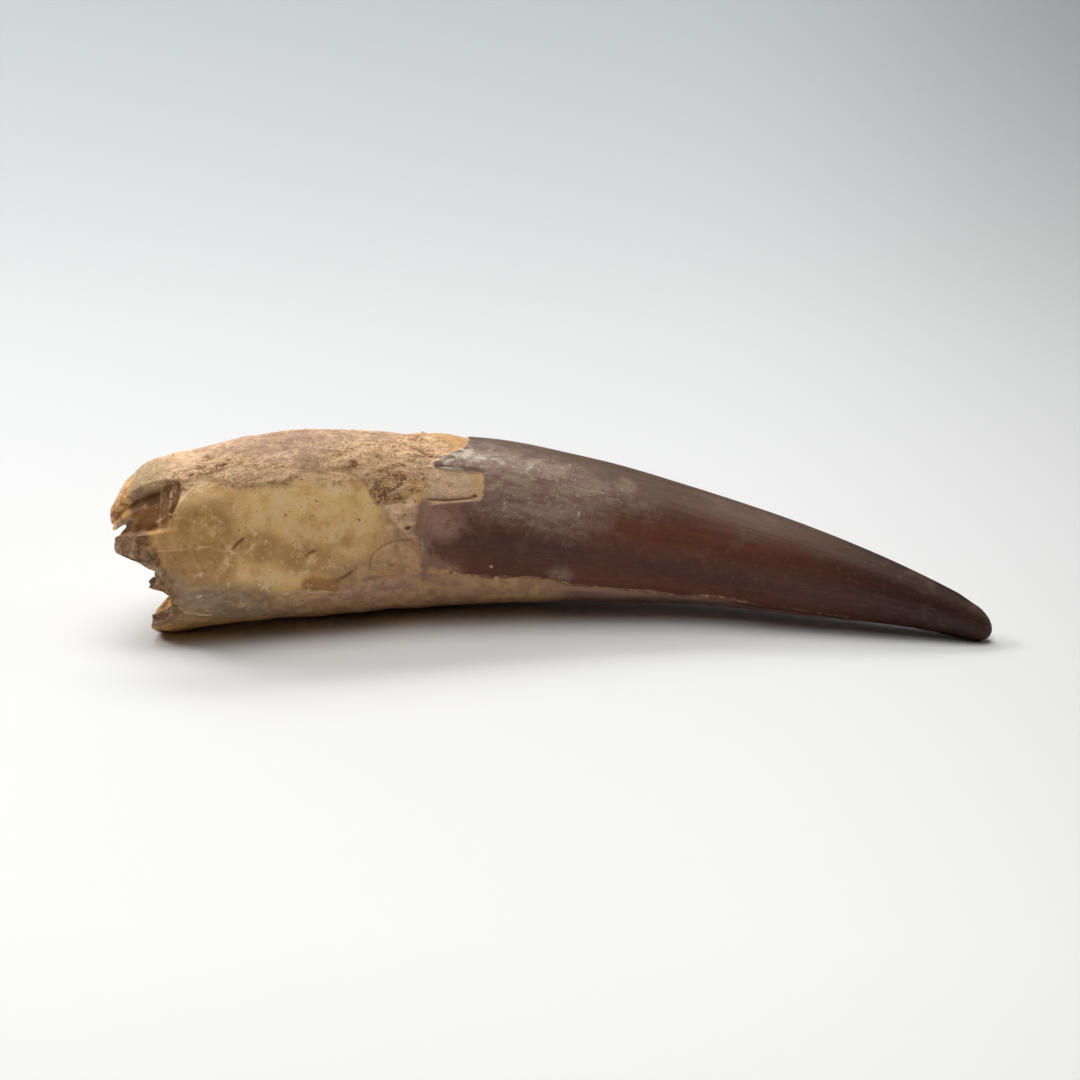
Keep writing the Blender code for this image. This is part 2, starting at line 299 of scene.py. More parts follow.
PATCHES: dict[Stain, tuple[Patch, ...]] = {
    Stain.YELLOW: (
        Patch(-35.4, 27.0, 11.5, 5.6, 4.0),
        Patch(-28.2, 21.0, 3.4, 3.8),
        Patch(-29.0, 0.0, 3.0, 1.6, 20.0),
        Patch(-39.2, -12.0, 4.5, 4.6, -20.0),
        Patch(-44.3, -8.0, 2.4, 4.5, 10.0),
        Patch(-50.0, 40.0, 3.8, 2.0),
        Patch(-45.0, -172.0, 7.0, 3.4, -8.0),
        Patch(-30.0, 166.0, 6.0, 2.6, 10.0),
    ),
    Stain.BROWN: (
        Patch(-50.8, 9.0, 5.4, 6.5, 6.0, 3.0),
        Patch(-42.2, 4.5, 3.4, 2.4, -15.0),
        Patch(-36.4, -4.0, 4.5, 2.3, -10.0),
        Patch(-38.0, -150.0, 8.0, 2.6, 6.0),
    ),
    Stain.GREY: (
        Patch(-49.6, -33.5, 10.6, 4.2, -12.0, 3.0),
        Patch(-55.0, -22.0, 2.0, 4.0),
        Patch(-60.0, 74.0, 4.4, 4.6, 10.0),
        Patch(-36.9, 176.0, 7.0, 3.5, 14.0),
        Patch(-27.0, -168.0, 5.0, 2.4, -10.0),
        Patch(-51.0, -150.0, 4.0, 3.0, 20.0),
    ),
    Stain.TAN: (
        Patch(-46.0, -130.0, 9.0, 3.0),
        Patch(-30.0, -48.0, 13.0, 5.5, 2.0),
        Patch(-10.9, -48.0, 12.0, 6.5),
        Patch(-27.0, -20.0, 6.0, 3.0, 6.0),
    ),
    Stain.UMBER: (
        Patch(-22.4, -8.0, 3.0, 6.4, -5.0),
        Patch(-21.9, 16.0, 2.8, 3.0),
        Patch(-24.8, -152.0, 7.0, 5.5),
        Patch(-20.6, 170.0, 2.6, 7.0),
    ),
    Stain.FLAKE: (
        Patch(-34.1, -24.2, 2.6, 1.5, -12.0, 3.0),
    ),
    Stain.SANDY: (
        Patch(-21.0, 66.0, 4.6, 7.0, -10.0),
        Patch(-28.6, 60.0, 5.6, 3.6, 8.0),
        Patch(-30.0, 50.0, 5.0, 1.8, 5.0),
        Patch(-51.0, 60.0, 6.5, 2.4, 18.0),
        Patch(-41.0, 50.0, 6.5, 1.6, -3.0),
        Patch(-37.7, 124.0, 9.0, 3.0, 6.0),
        Patch(-50.0, 138.0, 5.0, 2.4, -14.0),
        Patch(-24.5, 146.0, 3.4, 3.8, 10.0),
        Patch(-29.0, 168.0, 3.6, 1.6, -24.0),
    ),
    Stain.PINK: (
        Patch(-47.0, 116.0, 6.0, 3.0, 10.0),
        Patch(-30.0, 132.0, 6.0, 3.0, -12.0),
        Patch(-40.0, 82.0, 12.0, 5.0),
        Patch(-24.0, 84.0, 5.0, 3.4),
        Patch(-38.0, 60.0, 4.5, 1.8),
        Patch(-26.5, -33.0, 7.0, 2.2, 4.0),
    ),
    Stain.HOLLOW: (
        Patch(-23.6, 40.0, 3.4, 2.2, 28.0),
    ),
    Stain.BAND: (
        Patch(-18.9, -2.0, 0.8, 6.5, 2.0, 3.0),
    ),
    Stain.FILM: (
        Patch(-4.0, 46.0, 11.5, 6.0, -6.0, 2.6),
        Patch(3.0, 53.0, 8.0, 2.2, -6.0),
        Patch(-8.0, 68.0, 8.0, 2.4, -6.0),
        Patch(-8.0, 166.0, 6.0, 2.0, 4.0),
    ),
    # pale silvery film on the enamel with painted glints
    Stain.SILVER: (
        Patch(-15.4, 67.0, 3.0, 3.4, -8.0),
        Patch(-10.2, 64.0, 2.8, 0.9, -6.0),
        Patch(-4.6, 64.0, 2.4, 0.4, -4.0),
    ),
    Stain.PURPLE: (
        Patch(-16.4, 17.0, 3.2, 2.7, -8.0),
    ),
    Stain.RED: (
        Patch(-13.0, -8.0, 5.5, 2.4),
        Patch(12.0, 26.0, 12.0, 2.6, -6.0),
        Patch(-6.0, 150.0, 8.0, 2.4, 3.0),
        Patch(18.0, 172.0, 10.0, 1.8, -2.0),
    ),
    Stain.DARK: (
        Patch(-4.8, 2.0, 10.0, 3.4, -3.0),
        Patch(22.0, -10.0, 13.0, 1.8, -3.0),
        Patch(4.0, -170.0, 11.0, 2.4, 2.0),
    ),
    Stain.BUFF: (
        Patch(-15.0, 44.0, 4.8, 3.2, -2.0, 3.0),
        Patch(-19.6, 50.0, 2.2, 2.4),
    ),
    Stain.OCHRE: (
        Patch(-11.3, 44.0, 0.6, 2.4, 0.0, 3.0),
        Patch(-20.5, 40.0, 2.2, 1.3, 30.0),
    ),
    Stain.ASHEN: (
        Patch(6.6, 59.6, 1.0, 0.8),
        Patch(10.4, 64.0, 1.6, 1.6, 20.0),
        Patch(13.1, 48.2, 0.7, 0.3, -10.0),
        Patch(1.0, -20.5, 1.7, 1.2),
        Patch(-12.0, -34.0, 1.2, 0.8),
    ),
    # small white marks, partly painted glints
    Stain.WHITE: (
        Patch(-51.3, -24.0, 0.4, 0.3),
        Patch(3.4, 28.5, 0.26, 0.24),
        Patch(-8.6, -24.6, 0.3, 0.25),
        Patch(-9.3, -14.9, 0.26, 0.26),
        Patch(-19.3, 1.0, 0.25, 0.7),
    ),
    Stain.GLAZE: (
        Patch(-61.3, 18.0, 3.4, 3.2, 8.0),
        Patch(-57.6, 1.0, 1.5, 3.4),
        Patch(-56.2, -12.0, 1.3, 2.4),
    ),
}


# millimetres inside a stain over which its relief grows in
RELIEF_FADES: dict[Stain, Limits] = {
    Stain.SANDY: (-1.0, 1.2),
    Stain.HOLLOW: (-0.4, 0.6),
    Stain.FILM: (-1.0, 2.0),
    Stain.SILVER: (-0.5, 0.5),
    Stain.GLAZE: (-0.6, 0.8),
}


class Groove(NamedTuple):
    """A crack, slit or scratch: a line through (x, angle) points with a width and a depth in millimetres.

    Its colour goes from 1, dark dirt and painted shade, to -1, pale scratches and painted glints; a
    negative depth makes a ridge.
    """

    points: tuple[tuple[float, float], ...]
    width: float
    depth: float
    colour: float


@dataclass
class Skin:
    """The finished grid: rows along the tooth, columns round it."""

    points: Array
    fields: dict[str, Array]
    tip: Array
    floor: Array


# -------- the tooth


@dataclass
class ToothForm:
    """Sizes of the tooth in millimetres and degrees, and the surface worked out from them.

    Angles run round the tooth: 0 is the front, 90 the top, 180 the back and -90 the bottom.
    """

    tip_x: float = 65.0
    tip_radius: float = 2.4
    root_x: float = -60.0
    ragged_from_x: float = -45.5
    ragged_easing: float = 1.5
    cavity_floor_x: float = -42.5
    wall_bottom: float = 2.2
    wall_side: float = 3.0
    break_wave: Ripple = Ripple(0.7, 2.5, 1, 3)
    enamel_thickness: float = 0.3
    enamel_edge: float = 0.5
    carina_height: float = 0.4
    carina_half_angle: float = 5.0
    carina_angles: tuple[float, float] = (95.0, -74.0)
    carina_starts_x: float = -9.0
    carina_grows_over: float = 20.0
    lumps: Ripple = Ripple(0.28, 9.0, 1, 1)
    small_lumps: Ripple = Ripple(0.13, 3.6, 1, 2)
    root_ends_x: float = -13.0
    root_fades_over: float = 10.0
    crust_thickness: float = 0.35
    crust_back_angle: float = 150.0
    crust_back_fade: float = 10.0
    crust_edge_width: float = 0.8
    crust_ends_x: float = -20.0
    crust_wave: Ripple = Ripple(4.0, 5.0, 1, 5)
    chip_depth: float = 1.65
    chip_end_x: float = -56.0
    chip_low_angle: float = 27.0
    chip_high_angle: float = 57.0
    chip_wall: float = 0.5
    chip_wall_angle: float = 3.0
    chip_inner_share: float = 0.3
    pattern_radius: float = 11.0
    enamel_wobble: Ripple = Ripple(0.5, 1.9, 3, 71)
    enamel_wander: Ripple = Ripple(1.2, 5.0, 3, 73)
    enamel_wanders_from: Limits = (115.0, 150.0)
    crust_wobble: Ripple = Ripple(0.6, 2.4, 3, 72)
    crust_wander: Ripple = Ripple(3.0, 9.0, 4, 75)
    crust_wanders_from: Limits = (100.0, 130.0)
    worn_x: float = -19.0
    worn_half_length: float = 4.0
    worn_angle: float = 5.0
    worn_edge_half_angle: float = 30.0
    worn_edge_share: float = 0.75
    worn_step_half_angle: float = 32.0

    # x; top, bottom, half width and how far back the middle of the section lies there
    sections: Profile = Profile((
        (-65.0, 19.5, 5.8, 6.5, -0.9),
        (-63.0, 22.6, 2.9, 8.6, -0.8),
        (-60.0, 25.1, -0.4, 10.9, -0.6),
        (-57.0, 26.3, -1.1, 11.8, -0.3),
        (-53.0, 27.05, -0.5, 12.1, 0.4),
        (-46.4, 28.2, -0.1, 12.25, 2.2),
        (-37.7, 28.5, -0.2, 12.25, 5.1),
        (-31.0, 27.85, -0.3, 12.15, 7.3),
        (-23.1, 26.75, -0.2, 11.6, 9.6),
        (-8.9, 25.65, 0.0, 10.7, 11.6),
        (6.6, 22.25, 0.5, 9.5, 12.2),
        (22.1, 18.2, 0.9, 7.7, 11.0),
        (36.8, 14.55, 0.85, 6.1, 7.4),
        (51.8, 9.65, 0.8, 4.15, 3.6),
        (59.2, 6.7, 0.5, 3.0, 1.5),
        (65.0, 4.15, -0.45, 1.9, -0.4),
    ))
    # angle and x of the broken edge there
    broken_edge: Profile = Profile((
        (-180.0, -55.5),
        (-150.0, -56.0),
        (-135.0, -57.3),
        (-120.0, -59.2),
        (-105.0, -60.2),
        (-90.0, -59.8),
        (-70.0, -58.6),
        (-60.0, -59.2),
        (-50.0, -59.0),
        (-43.0, -56.8),
        (-36.0, -55.3),
        (-20.0, -55.2),
        (-14.0, -56.4),
        (-10.5, -58.4),
        (-8.0, -57.2),
        (0.0, -56.9),
        (3.0, -58.4),
        (7.0, -60.0),
        (8.5, -63.5),
        (24.0, -63.6),
        (33.0, -62.1),
        (40.0, -62.2),
        (46.0, -64.3),
        (57.0, -65.0),
        (73.0, -65.0),
        (80.0, -64.2),
        (91.0, -63.6),
        (98.0, -61.8),
        (125.0, -60.2),
        (140.0, -58.8),
        (160.0, -57.0),
        (180.0, -55.5),
    ))
    # angle and x where the enamel starts there
    enamel_limit: Profile = Profile((
        (-180.0, -18.1),
        (-140.0, -17.6),
        (-60.0, -19.1),
        (-25.0, -19.5),
        (0.0, -19.5),
        (9.0, -20.2),
        (20.0, -19.8),
        (28.0, -18.8),
        (31.0, -11.1),
        (35.0, -10.5),
        (52.0, -10.6),
        (55.0, -17.6),
        (60.0, -18.1),
        (66.0, -17.2),
        (72.0, -15.0),
        (78.0, -13.5),
        (92.0, -13.4),
        (115.0, -14.0),
        (140.0, -16.0),
        (180.0, -18.1),
    ))
    # x, angle of the bare strip's front edge and of its back edge
    bare_strip: Profile = Profile((
        (-26.0, -20.0, -150.0),
        (-15.0, -20.0, -145.0),
        (-9.0, -25.5, -140.0),
        (-3.0, -24.0, -134.0),
        (1.5, -31.0, -128.0),
        (14.0, -36.0, -112.0),
        (23.0, -46.0, -98.0),
        (38.5, -60.0, -86.0),
        (52.5, -68.0, -79.0),
        (58.0, -74.0, -74.0),
    ))
    # x, angle and half width of the worn line along the enamel's lower edge
    worn_line: Profile = Profile((
        (-19.0, -20.0, 0.1),
        (-15.0, -20.5, 0.3),
        (-9.0, -24.5, 0.4),
        (-3.0, -24.5, 0.35),
        (2.3, -30.0, 0.3),
        (9.9, -36.5, 0.3),
        (14.4, -41.0, 0.5),
        (18.4, -45.0, 0.2),
        (22.7, -41.0, 0.7),
        (26.5, -41.0, 0.6),
        (30.0, -44.0, 0.15),
        (36.0, -44.0, 0.2),
        (44.2, -50.0, 0.15),
        (50.0, -66.0, 0.15),
        (58.0, -74.0, 0.0),
    ))
    # x and angle of the crust's front edge
    crust_edge: Profile = Profile((
        (-65.0, 62.0),
        (-55.0, 56.0),
        (-51.0, 56.0),
        (-45.5, 45.0),
        (-40.5, 46.5),
        (-31.0, 50.0),
        (-28.0, 44.0),
        (-26.0, 30.0),
        (-23.0, 14.0),
        (-20.0, 9.0),
    ))
    marks: tuple[Mark, ...] = (
        Mark(-18.0, 104.0, 5.5, 7.0, 0.0, 0.75),  # sandy lump on top, beside the enamel
        Mark(-22.4, 32.5, 3.9, 1.9, 19.0, -0.8),  # granular hollow beside the smooth patch
        Mark(-34.1, -24.0, 2.9, 1.9, -10.0, -0.4),  # sunken flake
        Mark(-40.6, 72.0, 8.0, 3.5, 4.0, -0.35),  # shallow trough in the crust
        Mark(-51.0, 30.0, 5.0, 4.0, 0.0, -0.3),  # dent beside the chip
    )

    def half_height(self, x: Array) -> Array:
        """Half of the section's height at x."""
        return (self.sections.smooth(x, 1) - self.sections.smooth(x, 2)) / 2

    def middle_height(self, x: Array) -> Array:
        """Height of the section's middle at x."""
        return (self.sections.smooth(x, 1) + self.sections.smooth(x, 2)) / 2

    def half_width(self, x: Array) -> Array:
        """Half of the section's width at x."""
        return self.sections.smooth(x, 3)

    def middle_y(self, x: Array) -> Array:
        """How far back the section's middle lies at x, because of the tooth's curve."""
        return self.sections.smooth(x, 4)

    def radius(self, x: Array) -> Array:
        """Mean radius of the section at x, to turn degrees into millimetres."""
        return (self.half_width(x) + self.half_height(x)) / 2

    def oval(self, x: Array, angle: Array, inset: float | Array = 0.0, share: float | Array = 1.0) -> Array:
        """Points of a section's oval about its middle: y = -b cos(angle), z = a sin(angle).

        Args:
            x: places along the tooth.
            angle: places round it.
            inset: how far the oval is moved inwards.
            share: how much of its size is left after that.

        Returns:
            Points (..., 3).
        """
        turned = np.radians(angle)
        y = self.middle_y(x) - (self.half_width(x) - inset) * share * np.cos(turned)
        z = self.middle_height(x) + (self.half_height(x) - inset) * share * np.sin(turned)
        return np.stack([x + 0 * y, y, z], axis=-1)

    def outward(self, x: Array, angle: Array) -> Array:
        """Unit directions out of the section's oval: (cos(angle) / b, sin(angle) / a).

        Args:
            x: places along the tooth.
            angle: places round it.

        Returns:
            Directions (..., 3).
        """
        turned = np.radians(angle)
        y = -np.cos(turned) / self.half_width(x)
        z = np.sin(turned) / self.half_height(x)
        size = np.hypot(y, z)
        return np.stack([0 * y, y / size, z / size], axis=-1)

    def enamel_depth(self, x: Array, angle: Array) -> Array:
        """How far a place lies inside the enamel, in millimetres; negative off it.

        Args:
            x: places along the tooth.
            angle: places round it.

        Returns:
            The least of the distances to the enamel's limit and to the bare strip.
        """
        limit = self.enamel_limit.straight(turn(angle))
        base = self.oval(x, angle)
        behind = smooth_step(*self.enamel_wanders_from, np.abs(turn(angle)))
        wobble = self.enamel_wobble.rise(base)
        worn = self.worn_edge_share * self.worn(x, angle, self.worn_edge_half_angle)
        wobble += (behind + worn) * self.enamel_wander.rise(base)
        return np.minimum(x - limit, -self.strip_depth(x, angle)) + wobble

    def worn(self, x: Array, angle: Array, half_angle: float) -> Array:
        """Where the enamel's edge is worn on the front: a bell round the tooth times one along it."""
        along = bell(x - self.worn_x, self.worn_half_length)
        return bell(turn(angle - self.worn_angle), half_angle) * along

    def strip_depth(self, x: Array, angle: Array) -> Array:
        """How far a place lies inside the bare strip, in millimetres; negative off it.

        Args:
            x: places along the tooth.
            angle: places round it.

        Returns:
            The least of the distances to the strip's front edge and to its back edge.
        """
        front = np.radians(self.bare_strip.smooth(x, 1) - turn(angle)) * self.radius(x)
        back = np.radians(turn(angle) - self.bare_strip.smooth(x, 2)) * self.radius(x)
        return within_reach(np.minimum(front, back))

    def line_depth(self, x: Array, angle: Array) -> Array:
        """How far a place lies inside the worn line: the line's half width less the distance to it."""
        away = np.radians(turn(angle) - self.worn_line.straight(x, 1)) * self.radius(x)
        inside = self.worn_line.straight(x, 2) - np.abs(away)
        past = np.maximum(self.worn_line.points[0][0] - x, x - self.worn_line.points[-1][0])
        return within_reach(np.minimum(inside, -past))

    def crust_depth(self, x: Array, angle: Array) -> Array:
        """How far a place lies inside the crust, in millimetres; negative off it.

        Args:
            x: places along the tooth.
            angle: places round it.

        Returns:
            The least of the distances to the crust's wavy front edge, its back edge and its end.
        """
        wave = self.crust_wave.rise(np.stack([x, 0 * x, 0 * x], axis=-1))
        front = np.radians(turn(angle) - (self.crust_edge.straight(x) + wave)) * self.radius(x)
        back_angle = self.crust_back_angle + self.crust_back_fade
        back = np.radians(back_angle - np.abs(turn(angle))) * self.radius(x)
        behind = smooth_step(*self.crust_wanders_from, np.abs(turn(angle)))
        base = self.oval(x, angle)
        wobble = self.crust_wobble.rise(base) + behind * self.crust_wander.rise(base)
        return np.minimum(np.minimum(front, back), self.crust_ends_x - x) + wobble

    def chip(self, x: Array, angle: Array) -> Array:
        """1 inside the chip in the upper front of the broken end and 0 outside it.

        Args:
            x: places along the tooth.
            angle: places round it.

        Returns:
            The product of an S along the tooth and one at either side.
        """
        along = 1 - smooth_step(self.chip_end_x - self.chip_wall, self.chip_end_x, x)
        bottom, top, wall = self.chip_low_angle, self.chip_high_angle, self.chip_wall_angle
        low = smooth_step(bottom - wall, bottom, turn(angle))
        return along * low * (1 - smooth_step(top, top + wall, turn(angle)))

    def unrolled(
        self, x: Array, angle: Array, centre: tuple[float, float], tilt: float = 0.0
    ) -> tuple[Array, Array]:
        """Millimetres along and across a direction on the unrolled skin, from a centre.

        Args:
            x: places along the tooth.
            angle: places round it.
            centre: x and angle of the centre.
            tilt: degrees by which the direction is turned from the tooth's own length.

        Returns:
            Distances along and across.
        """
        along = x - centre[0]
        around = np.radians(turn(angle - centre[1])) * self.radius(x)
        tilt = np.radians(tilt)
        return along * np.cos(tilt) + around * np.sin(tilt), around * np.cos(tilt) - along * np.sin(tilt)

    def mark_rise(self, mark: Mark, x: Array, angle: Array) -> Array:
        """Rise of one mark: a dome (1 - r^2)^2 on a turned ellipse."""
        u, v = self.unrolled(x, angle, (mark.x, mark.angle), mark.tilt)
        inside = np.clip(1 - (u / mark.half_length) ** 2 - (v / mark.half_breadth) ** 2, 0.0, 1.0)
        return mark.rise * inside**2

    def wall(self, angle: Array) -> Array:
        """Thickness of the root's wall, thinner towards the bottom."""
        down = np.clip(-np.sin(np.radians(angle)), 0.0, 1.0)
        return self.wall_side + (self.wall_bottom - self.wall_side) * down

    def broad_relief(self, x: Array, angle: Array, enamel: Array, crust: Array) -> Array:
        """Height over the oval of what the solid has too: lumps, enamel, carinae, crust, chip, marks.

        Args:
            x: places along the tooth.
            angle: places round it.
            enamel: depth inside the enamel.
            crust: depth inside the crust.

        Returns:
            Heights in millimetres.
        """
        base = self.oval(x, angle)
        root = 1 - smooth_step(self.root_ends_x - self.root_fades_over, self.root_ends_x, x)
        rise = root * (self.lumps.rise(base) + self.small_lumps.rise(base))
        on_enamel = smooth_step(-self.enamel_edge / 2, self.enamel_edge / 2, enamel)
        rise += self.enamel_thickness * (on_enamel - 1)
        along = smooth_step(self.carina_starts_x, self.carina_starts_x + self.carina_grows_over, x)
        for centre in self.carina_angles:
            rise += self.carina_height * bell(turn(angle - centre), self.carina_half_angle) * along
        on_crust = smooth_step(-self.crust_edge_width / 2, self.crust_edge_width / 2, crust)
        rise += self.crust_thickness * on_crust
        rise -= self.chip_depth * self.chip(x, angle)
        for mark in self.marks:
            rise += self.mark_rise(mark, x, angle)
        return rise


@dataclass
class Weathering:
    """The fine relief of the fossil and the depths of its stains, on a form."""

    form: ToothForm
    rough: Ripple = Ripple(0.24, 1.9, 3, 31)
    grit: Ripple = Ripple(0.12, 0.6, 2, 41)
    bone_wave: Ripple = Ripple(0.1, 3.4, 2, 45)
    bone_grain: Ripple = Ripple(0.05, 1.0, 2, 51)
    silver_lumps: Ripple = Ripple(0.08, 0.8, 2, 85)
    crumbs: Ripple = Ripple(0.38, 1.4, 3, 95)
    glaze_lumps: Ripple = Ripple(0.36, 1.1, 2, 97)
    chip_lumps: Ripple = Ripple(0.25, 2.4, 2, 98)
    break_lumps: Ripple = Ripple(0.35, 1.1, 2, 105)
    big_pits: PitField = PitField(0.3, 2.3, 0.4, 0.35, 0.8, 61)
    small_pits: PitField = PitField(0.16, 1.25, 0.24, 0.35, 0.75, 66)
    pit_bend: Ripple = Ripple(0.9, 1.1, 2, 62)
    # depth at which a single pit is darkest: dirt and painted shade
    dark_pit_depth: float = 0.25
    crust_fade: Limits = (-0.2, 0.6)
    enamel_fade: Limits = (-0.2, 0.3)
    patina_fade: Limits = (-0.1, 0.35)
    worn_step: Limits = (-0.3, 2.6)
    crumbled_edge: Limits = (0.4, 3.0)
    # how strongly each shows on the crust, on sandy places and in the granular hollow
    rough_on: tuple[float, float, float] = (0.5, 0.6, 1.0)
    grit_on: tuple[float, float, float] = (0.25, 0.8, 1.0)
    big_pits_on: tuple[float, float, float] = (0.2, 0.9, 0.5)
    along_stretch: float = 0.5
    patina: Ripple = Ripple(1.0, 4.0, 1, 21)
    crinkle: Ripple = Ripple(1.0, 0.95, 1, 81)
    crinkle_height: float = 0.075
    crinkle_stretch: float = 0.55
    streaks: Ripple = Ripple(0.018, 0.7, 1, 91)
    streak_stretch: float = 0.12
    chip_floor_depth: float = 1.65
    chip_floor_rise: float = 0.6
    chip_floor_rises: Limits = (-57.5, -55.3)
    chip_floor_ends: Limits = (-55.4, -54.9)
    lip_wall: float = 1.1
    lip_depth: float = 0.4
    lip_from: Limits = (40.0, 70.0)
    lip_to: Limits = (120.0, 150.0)
    cavity_lumps: Ripple = Ripple(1.0, 2.6, 4, 101)
    cavity_roughness: float = 0.18
    matrix_roughness: float = 0.75
    matrix_depth: Limits = (0.15, 0.8)

    # dark grooves hold dirt and painted shade; pale ones are scratches and painted glints
    grooves: tuple[Groove, ...] = (
        Groove(((-46.0, 6.0), (-45.4, 9.0), (-44.5, 11.8)), 0.22, 0.4, 0.7),
        Groove(((-35.9, -2.0), (-35.2, -0.4), (-34.6, 0.8)), 0.21, 0.36, 0.7),
        Groove(((-31.7, -21.5), (-30.6, -18.6), (-29.4, -14.9)), 0.23, 0.42, 0.75),
        Groove(((-27.0, -12.0), (-26.4, -3.2), (-24.9, 2.0), (-23.1, 4.6), (-21.3, 4.8)), 0.2, 0.2, 0.3),
        Groove(((-26.7, -12.5), (-26.1, -3.7), (-24.6, 1.3), (-22.9, 3.8)), 0.2, -0.08, -0.5),
        Groove(
            ((-54.9, -26.5), (-54.6, -30.0), (-53.8, -36.5), (-51.9, -41.4), (-50.4, -42.6)),
            0.22,
            0.34,
            0.6,
        ),
        Groove(((-54.5, -31.6), (-53.5, -38.0), (-51.6, -42.8), (-49.9, -44.0)), 0.22, -0.08, -0.9),
        Groove(((-18.6, 31.9), (-15.6, 31.0), (-13.0, 32.2), (-11.5, 33.8)), 0.22, 0.24, 0.75),
        Groove(((-17.7, 56.6), (-15.5, 56.0), (-13.0, 54.8), (-10.8, 53.4)), 0.22, 0.2, 0.6),
        Groove(((-36.3, -30.8), (-34.6, -30.2), (-32.5, -30.6)), 0.22, -0.08, -0.7),
        Groove(((-54.7, 36.0), (-54.2, 43.0), (-54.0, 50.0), (-54.3, 57.0)), 0.34, 0.8, 0.95),
        # pale ridges along the chip's right wall and below it: painted glints on lit edges
        Groove(((-55.3, 53.0), (-55.05, 50.0), (-55.0, 46.5)), 0.13, -0.1, -1.0),
        Groove(((-54.95, 44.0), (-54.9, 41.0), (-55.3, 37.5)), 0.17, -0.1, -1.0),
        Groove(((-55.7, 35.5), (-56.3, 33.6), (-57.2, 32.6)), 0.12, -0.08, -0.9),
        Groove(((-56.6, 13.2), (-55.0, 12.0), (-53.1, 11.0)), 0.12, -0.04, -0.7),
        Groove(((-49.9, 31.5), (-48.2, 25.8), (-46.4, 19.4)), 0.12, -0.03, -0.35),
        Groove(((-48.6, 31.0), (-47.1, 26.6), (-45.6, 21.6)), 0.1, -0.02, -0.3),
        Groove(((-50.9, 30.0), (-49.6, 24.8), (-48.6, 20.6)), 0.11, -0.02, -0.3),
        Groove(((-52.0, 10.4), (-51.0, 10.6), (-50.0, 11.4)), 0.11, -0.04, -0.7),
        Groove(((-51.0, 8.8), (-50.4, 10.4), (-49.4, 10.0)), 0.14, -0.04, -0.8),
        Groove(((-51.6, -8.4), (-51.0, -7.0), (-50.2, -6.6)), 0.16, -0.05, -0.9),
        Groove(((-50.9, -9.6), (-50.5, -7.6), (-50.7, -5.8)), 0.14, -0.05, -0.9),
        Groove(((-24.3, 34.4), (-23.0, 37.6), (-21.3, 42.0)), 0.24, -0.16, -0.8),
        Groove(((-46.6, 4.6), (-48.0, 2.4), (-49.4, 0.2)), 0.11, -0.02, -0.25),
        Groove(((-28.9, -22.5), (-26.0, -20.5), (-23.2, -20.8)), 0.2, 0.12, 0.4),
    )
    pits: tuple[Mark, ...] = (
        Mark(-21.4, 13.2, 0.5, 0.3, 15.0, -0.5),
        Mark(-28.4, 18.8, 0.24, 0.24, 0.0, -0.35),
        Mark(-22.0, 30.0, 0.4, 0.3, 0.0, -0.3),
        Mark(-34.4, 31.0, 0.3, 0.2, 0.0, -0.25),
        Mark(-47.9, 63.0, 0.9, 0.35, 20.0, -0.4),
        Mark(-52.4, 60.0, 0.7, 0.3, 15.0, -0.35),
        Mark(-50.7, 76.0, 0.8, 0.25, 14.0, -0.3),
        Mark(-11.8, 34.6, 0.35, 0.28, 0.0, -0.4),
        Mark(-19.4, -14.0, 0.3, 0.2, 0.0, -0.25),
        Mark(-23.9, -12.0, 0.3, 0.22, 30.0, -0.25),
        Mark(-23.0, 1.0, 0.25, 0.2, 0.0, -0.2),
    )

    def stain_depth(self, patch: Patch, x: Array, angle: Array) -> Array:
        """How far a place lies inside a patch: (1 - r) times its smaller half size, r of a super-ellipse.

        Args:
            patch: the patch.
            x: places along the tooth.
            angle: places round it.

        Returns:
            Millimetres, negative outside.
        """
        u, v = self.form.unrolled(x, angle, (patch.x, patch.angle), patch.tilt)
        along, across = np.abs(u / patch.half_length), np.abs(v / patch.half_breadth)
        r = (along**patch.squareness + across**patch.squareness) ** (1 / patch.squareness)
        return (1 - r) * min(patch.half_length, patch.half_breadth)

    def stain_field(self, stain: Stain, x: Array, angle: Array) -> Array:
        """The largest depth of all patches of a stain, clipped to a few millimetres."""
        depths = [self.stain_depth(patch, x, angle) for patch in PATCHES[stain]]
        return np.clip(np.max(depths, axis=0), OFF_STAIN, DEEP_IN_STAIN)

    def groove_shape(self, groove: Groove, x: Array, angle: Array) -> Array:
        """1 on a groove's line, falling off as a bell of its width, which narrows towards both ends.

        Args:
            groove: the groove.
            x: places along the tooth.
            angle: places round it.

        Returns:
            Values from 0 to 1.
        """
        centre = groove.points[0]
        u, v = self.form.unrolled(x, angle, centre)
        scale = np.radians(1.0) * float(self.form.radius(np.array(centre[0])))
        nearest = np.full(x.shape, np.inf)
        for start, end in zip(groove.points, groove.points[1:]):
            a = np.array([start[0] - centre[0], (start[1] - centre[1]) * scale])
            b = np.array([end[0] - centre[0], (end[1] - centre[1]) * scale])
            along = b - a
            t = np.clip(((u - a[0]) * along[0] + (v - a[1]) * along[1]) / (along @ along), 0.0, 1.0)
            nearest = np.minimum(nearest, np.hypot(u - a[0] - t * along[0], v - a[1] - t * along[1]))
        last = groove.points[-1]
        away = np.hypot(u - (last[0] - centre[0]), v - (last[1] - centre[1]) * scale)
        taper = smooth_step(-2.0 * groove.width, 4.0 * groove.width, np.minimum(np.hypot(u, v), away))
        return bell(nearest, groove.width * (0.4 + 0.6 * taper))

    def stain_share(self, stain: Stain, x: Array, angle: Array) -> Array:
        """How far the relief that goes with a stain has grown in."""
        return smooth_step(*RELIEF_FADES[stain], self.stain_field(stain, x, angle))

    def stretched(self, x: Array, angle: Array, stretch: float) -> Array:
        """Places for a pattern drawn out along the tooth, the more so the smaller the stretch is."""
        return self.flow(x, angle) * np.array([stretch, 1.0, 1.0])

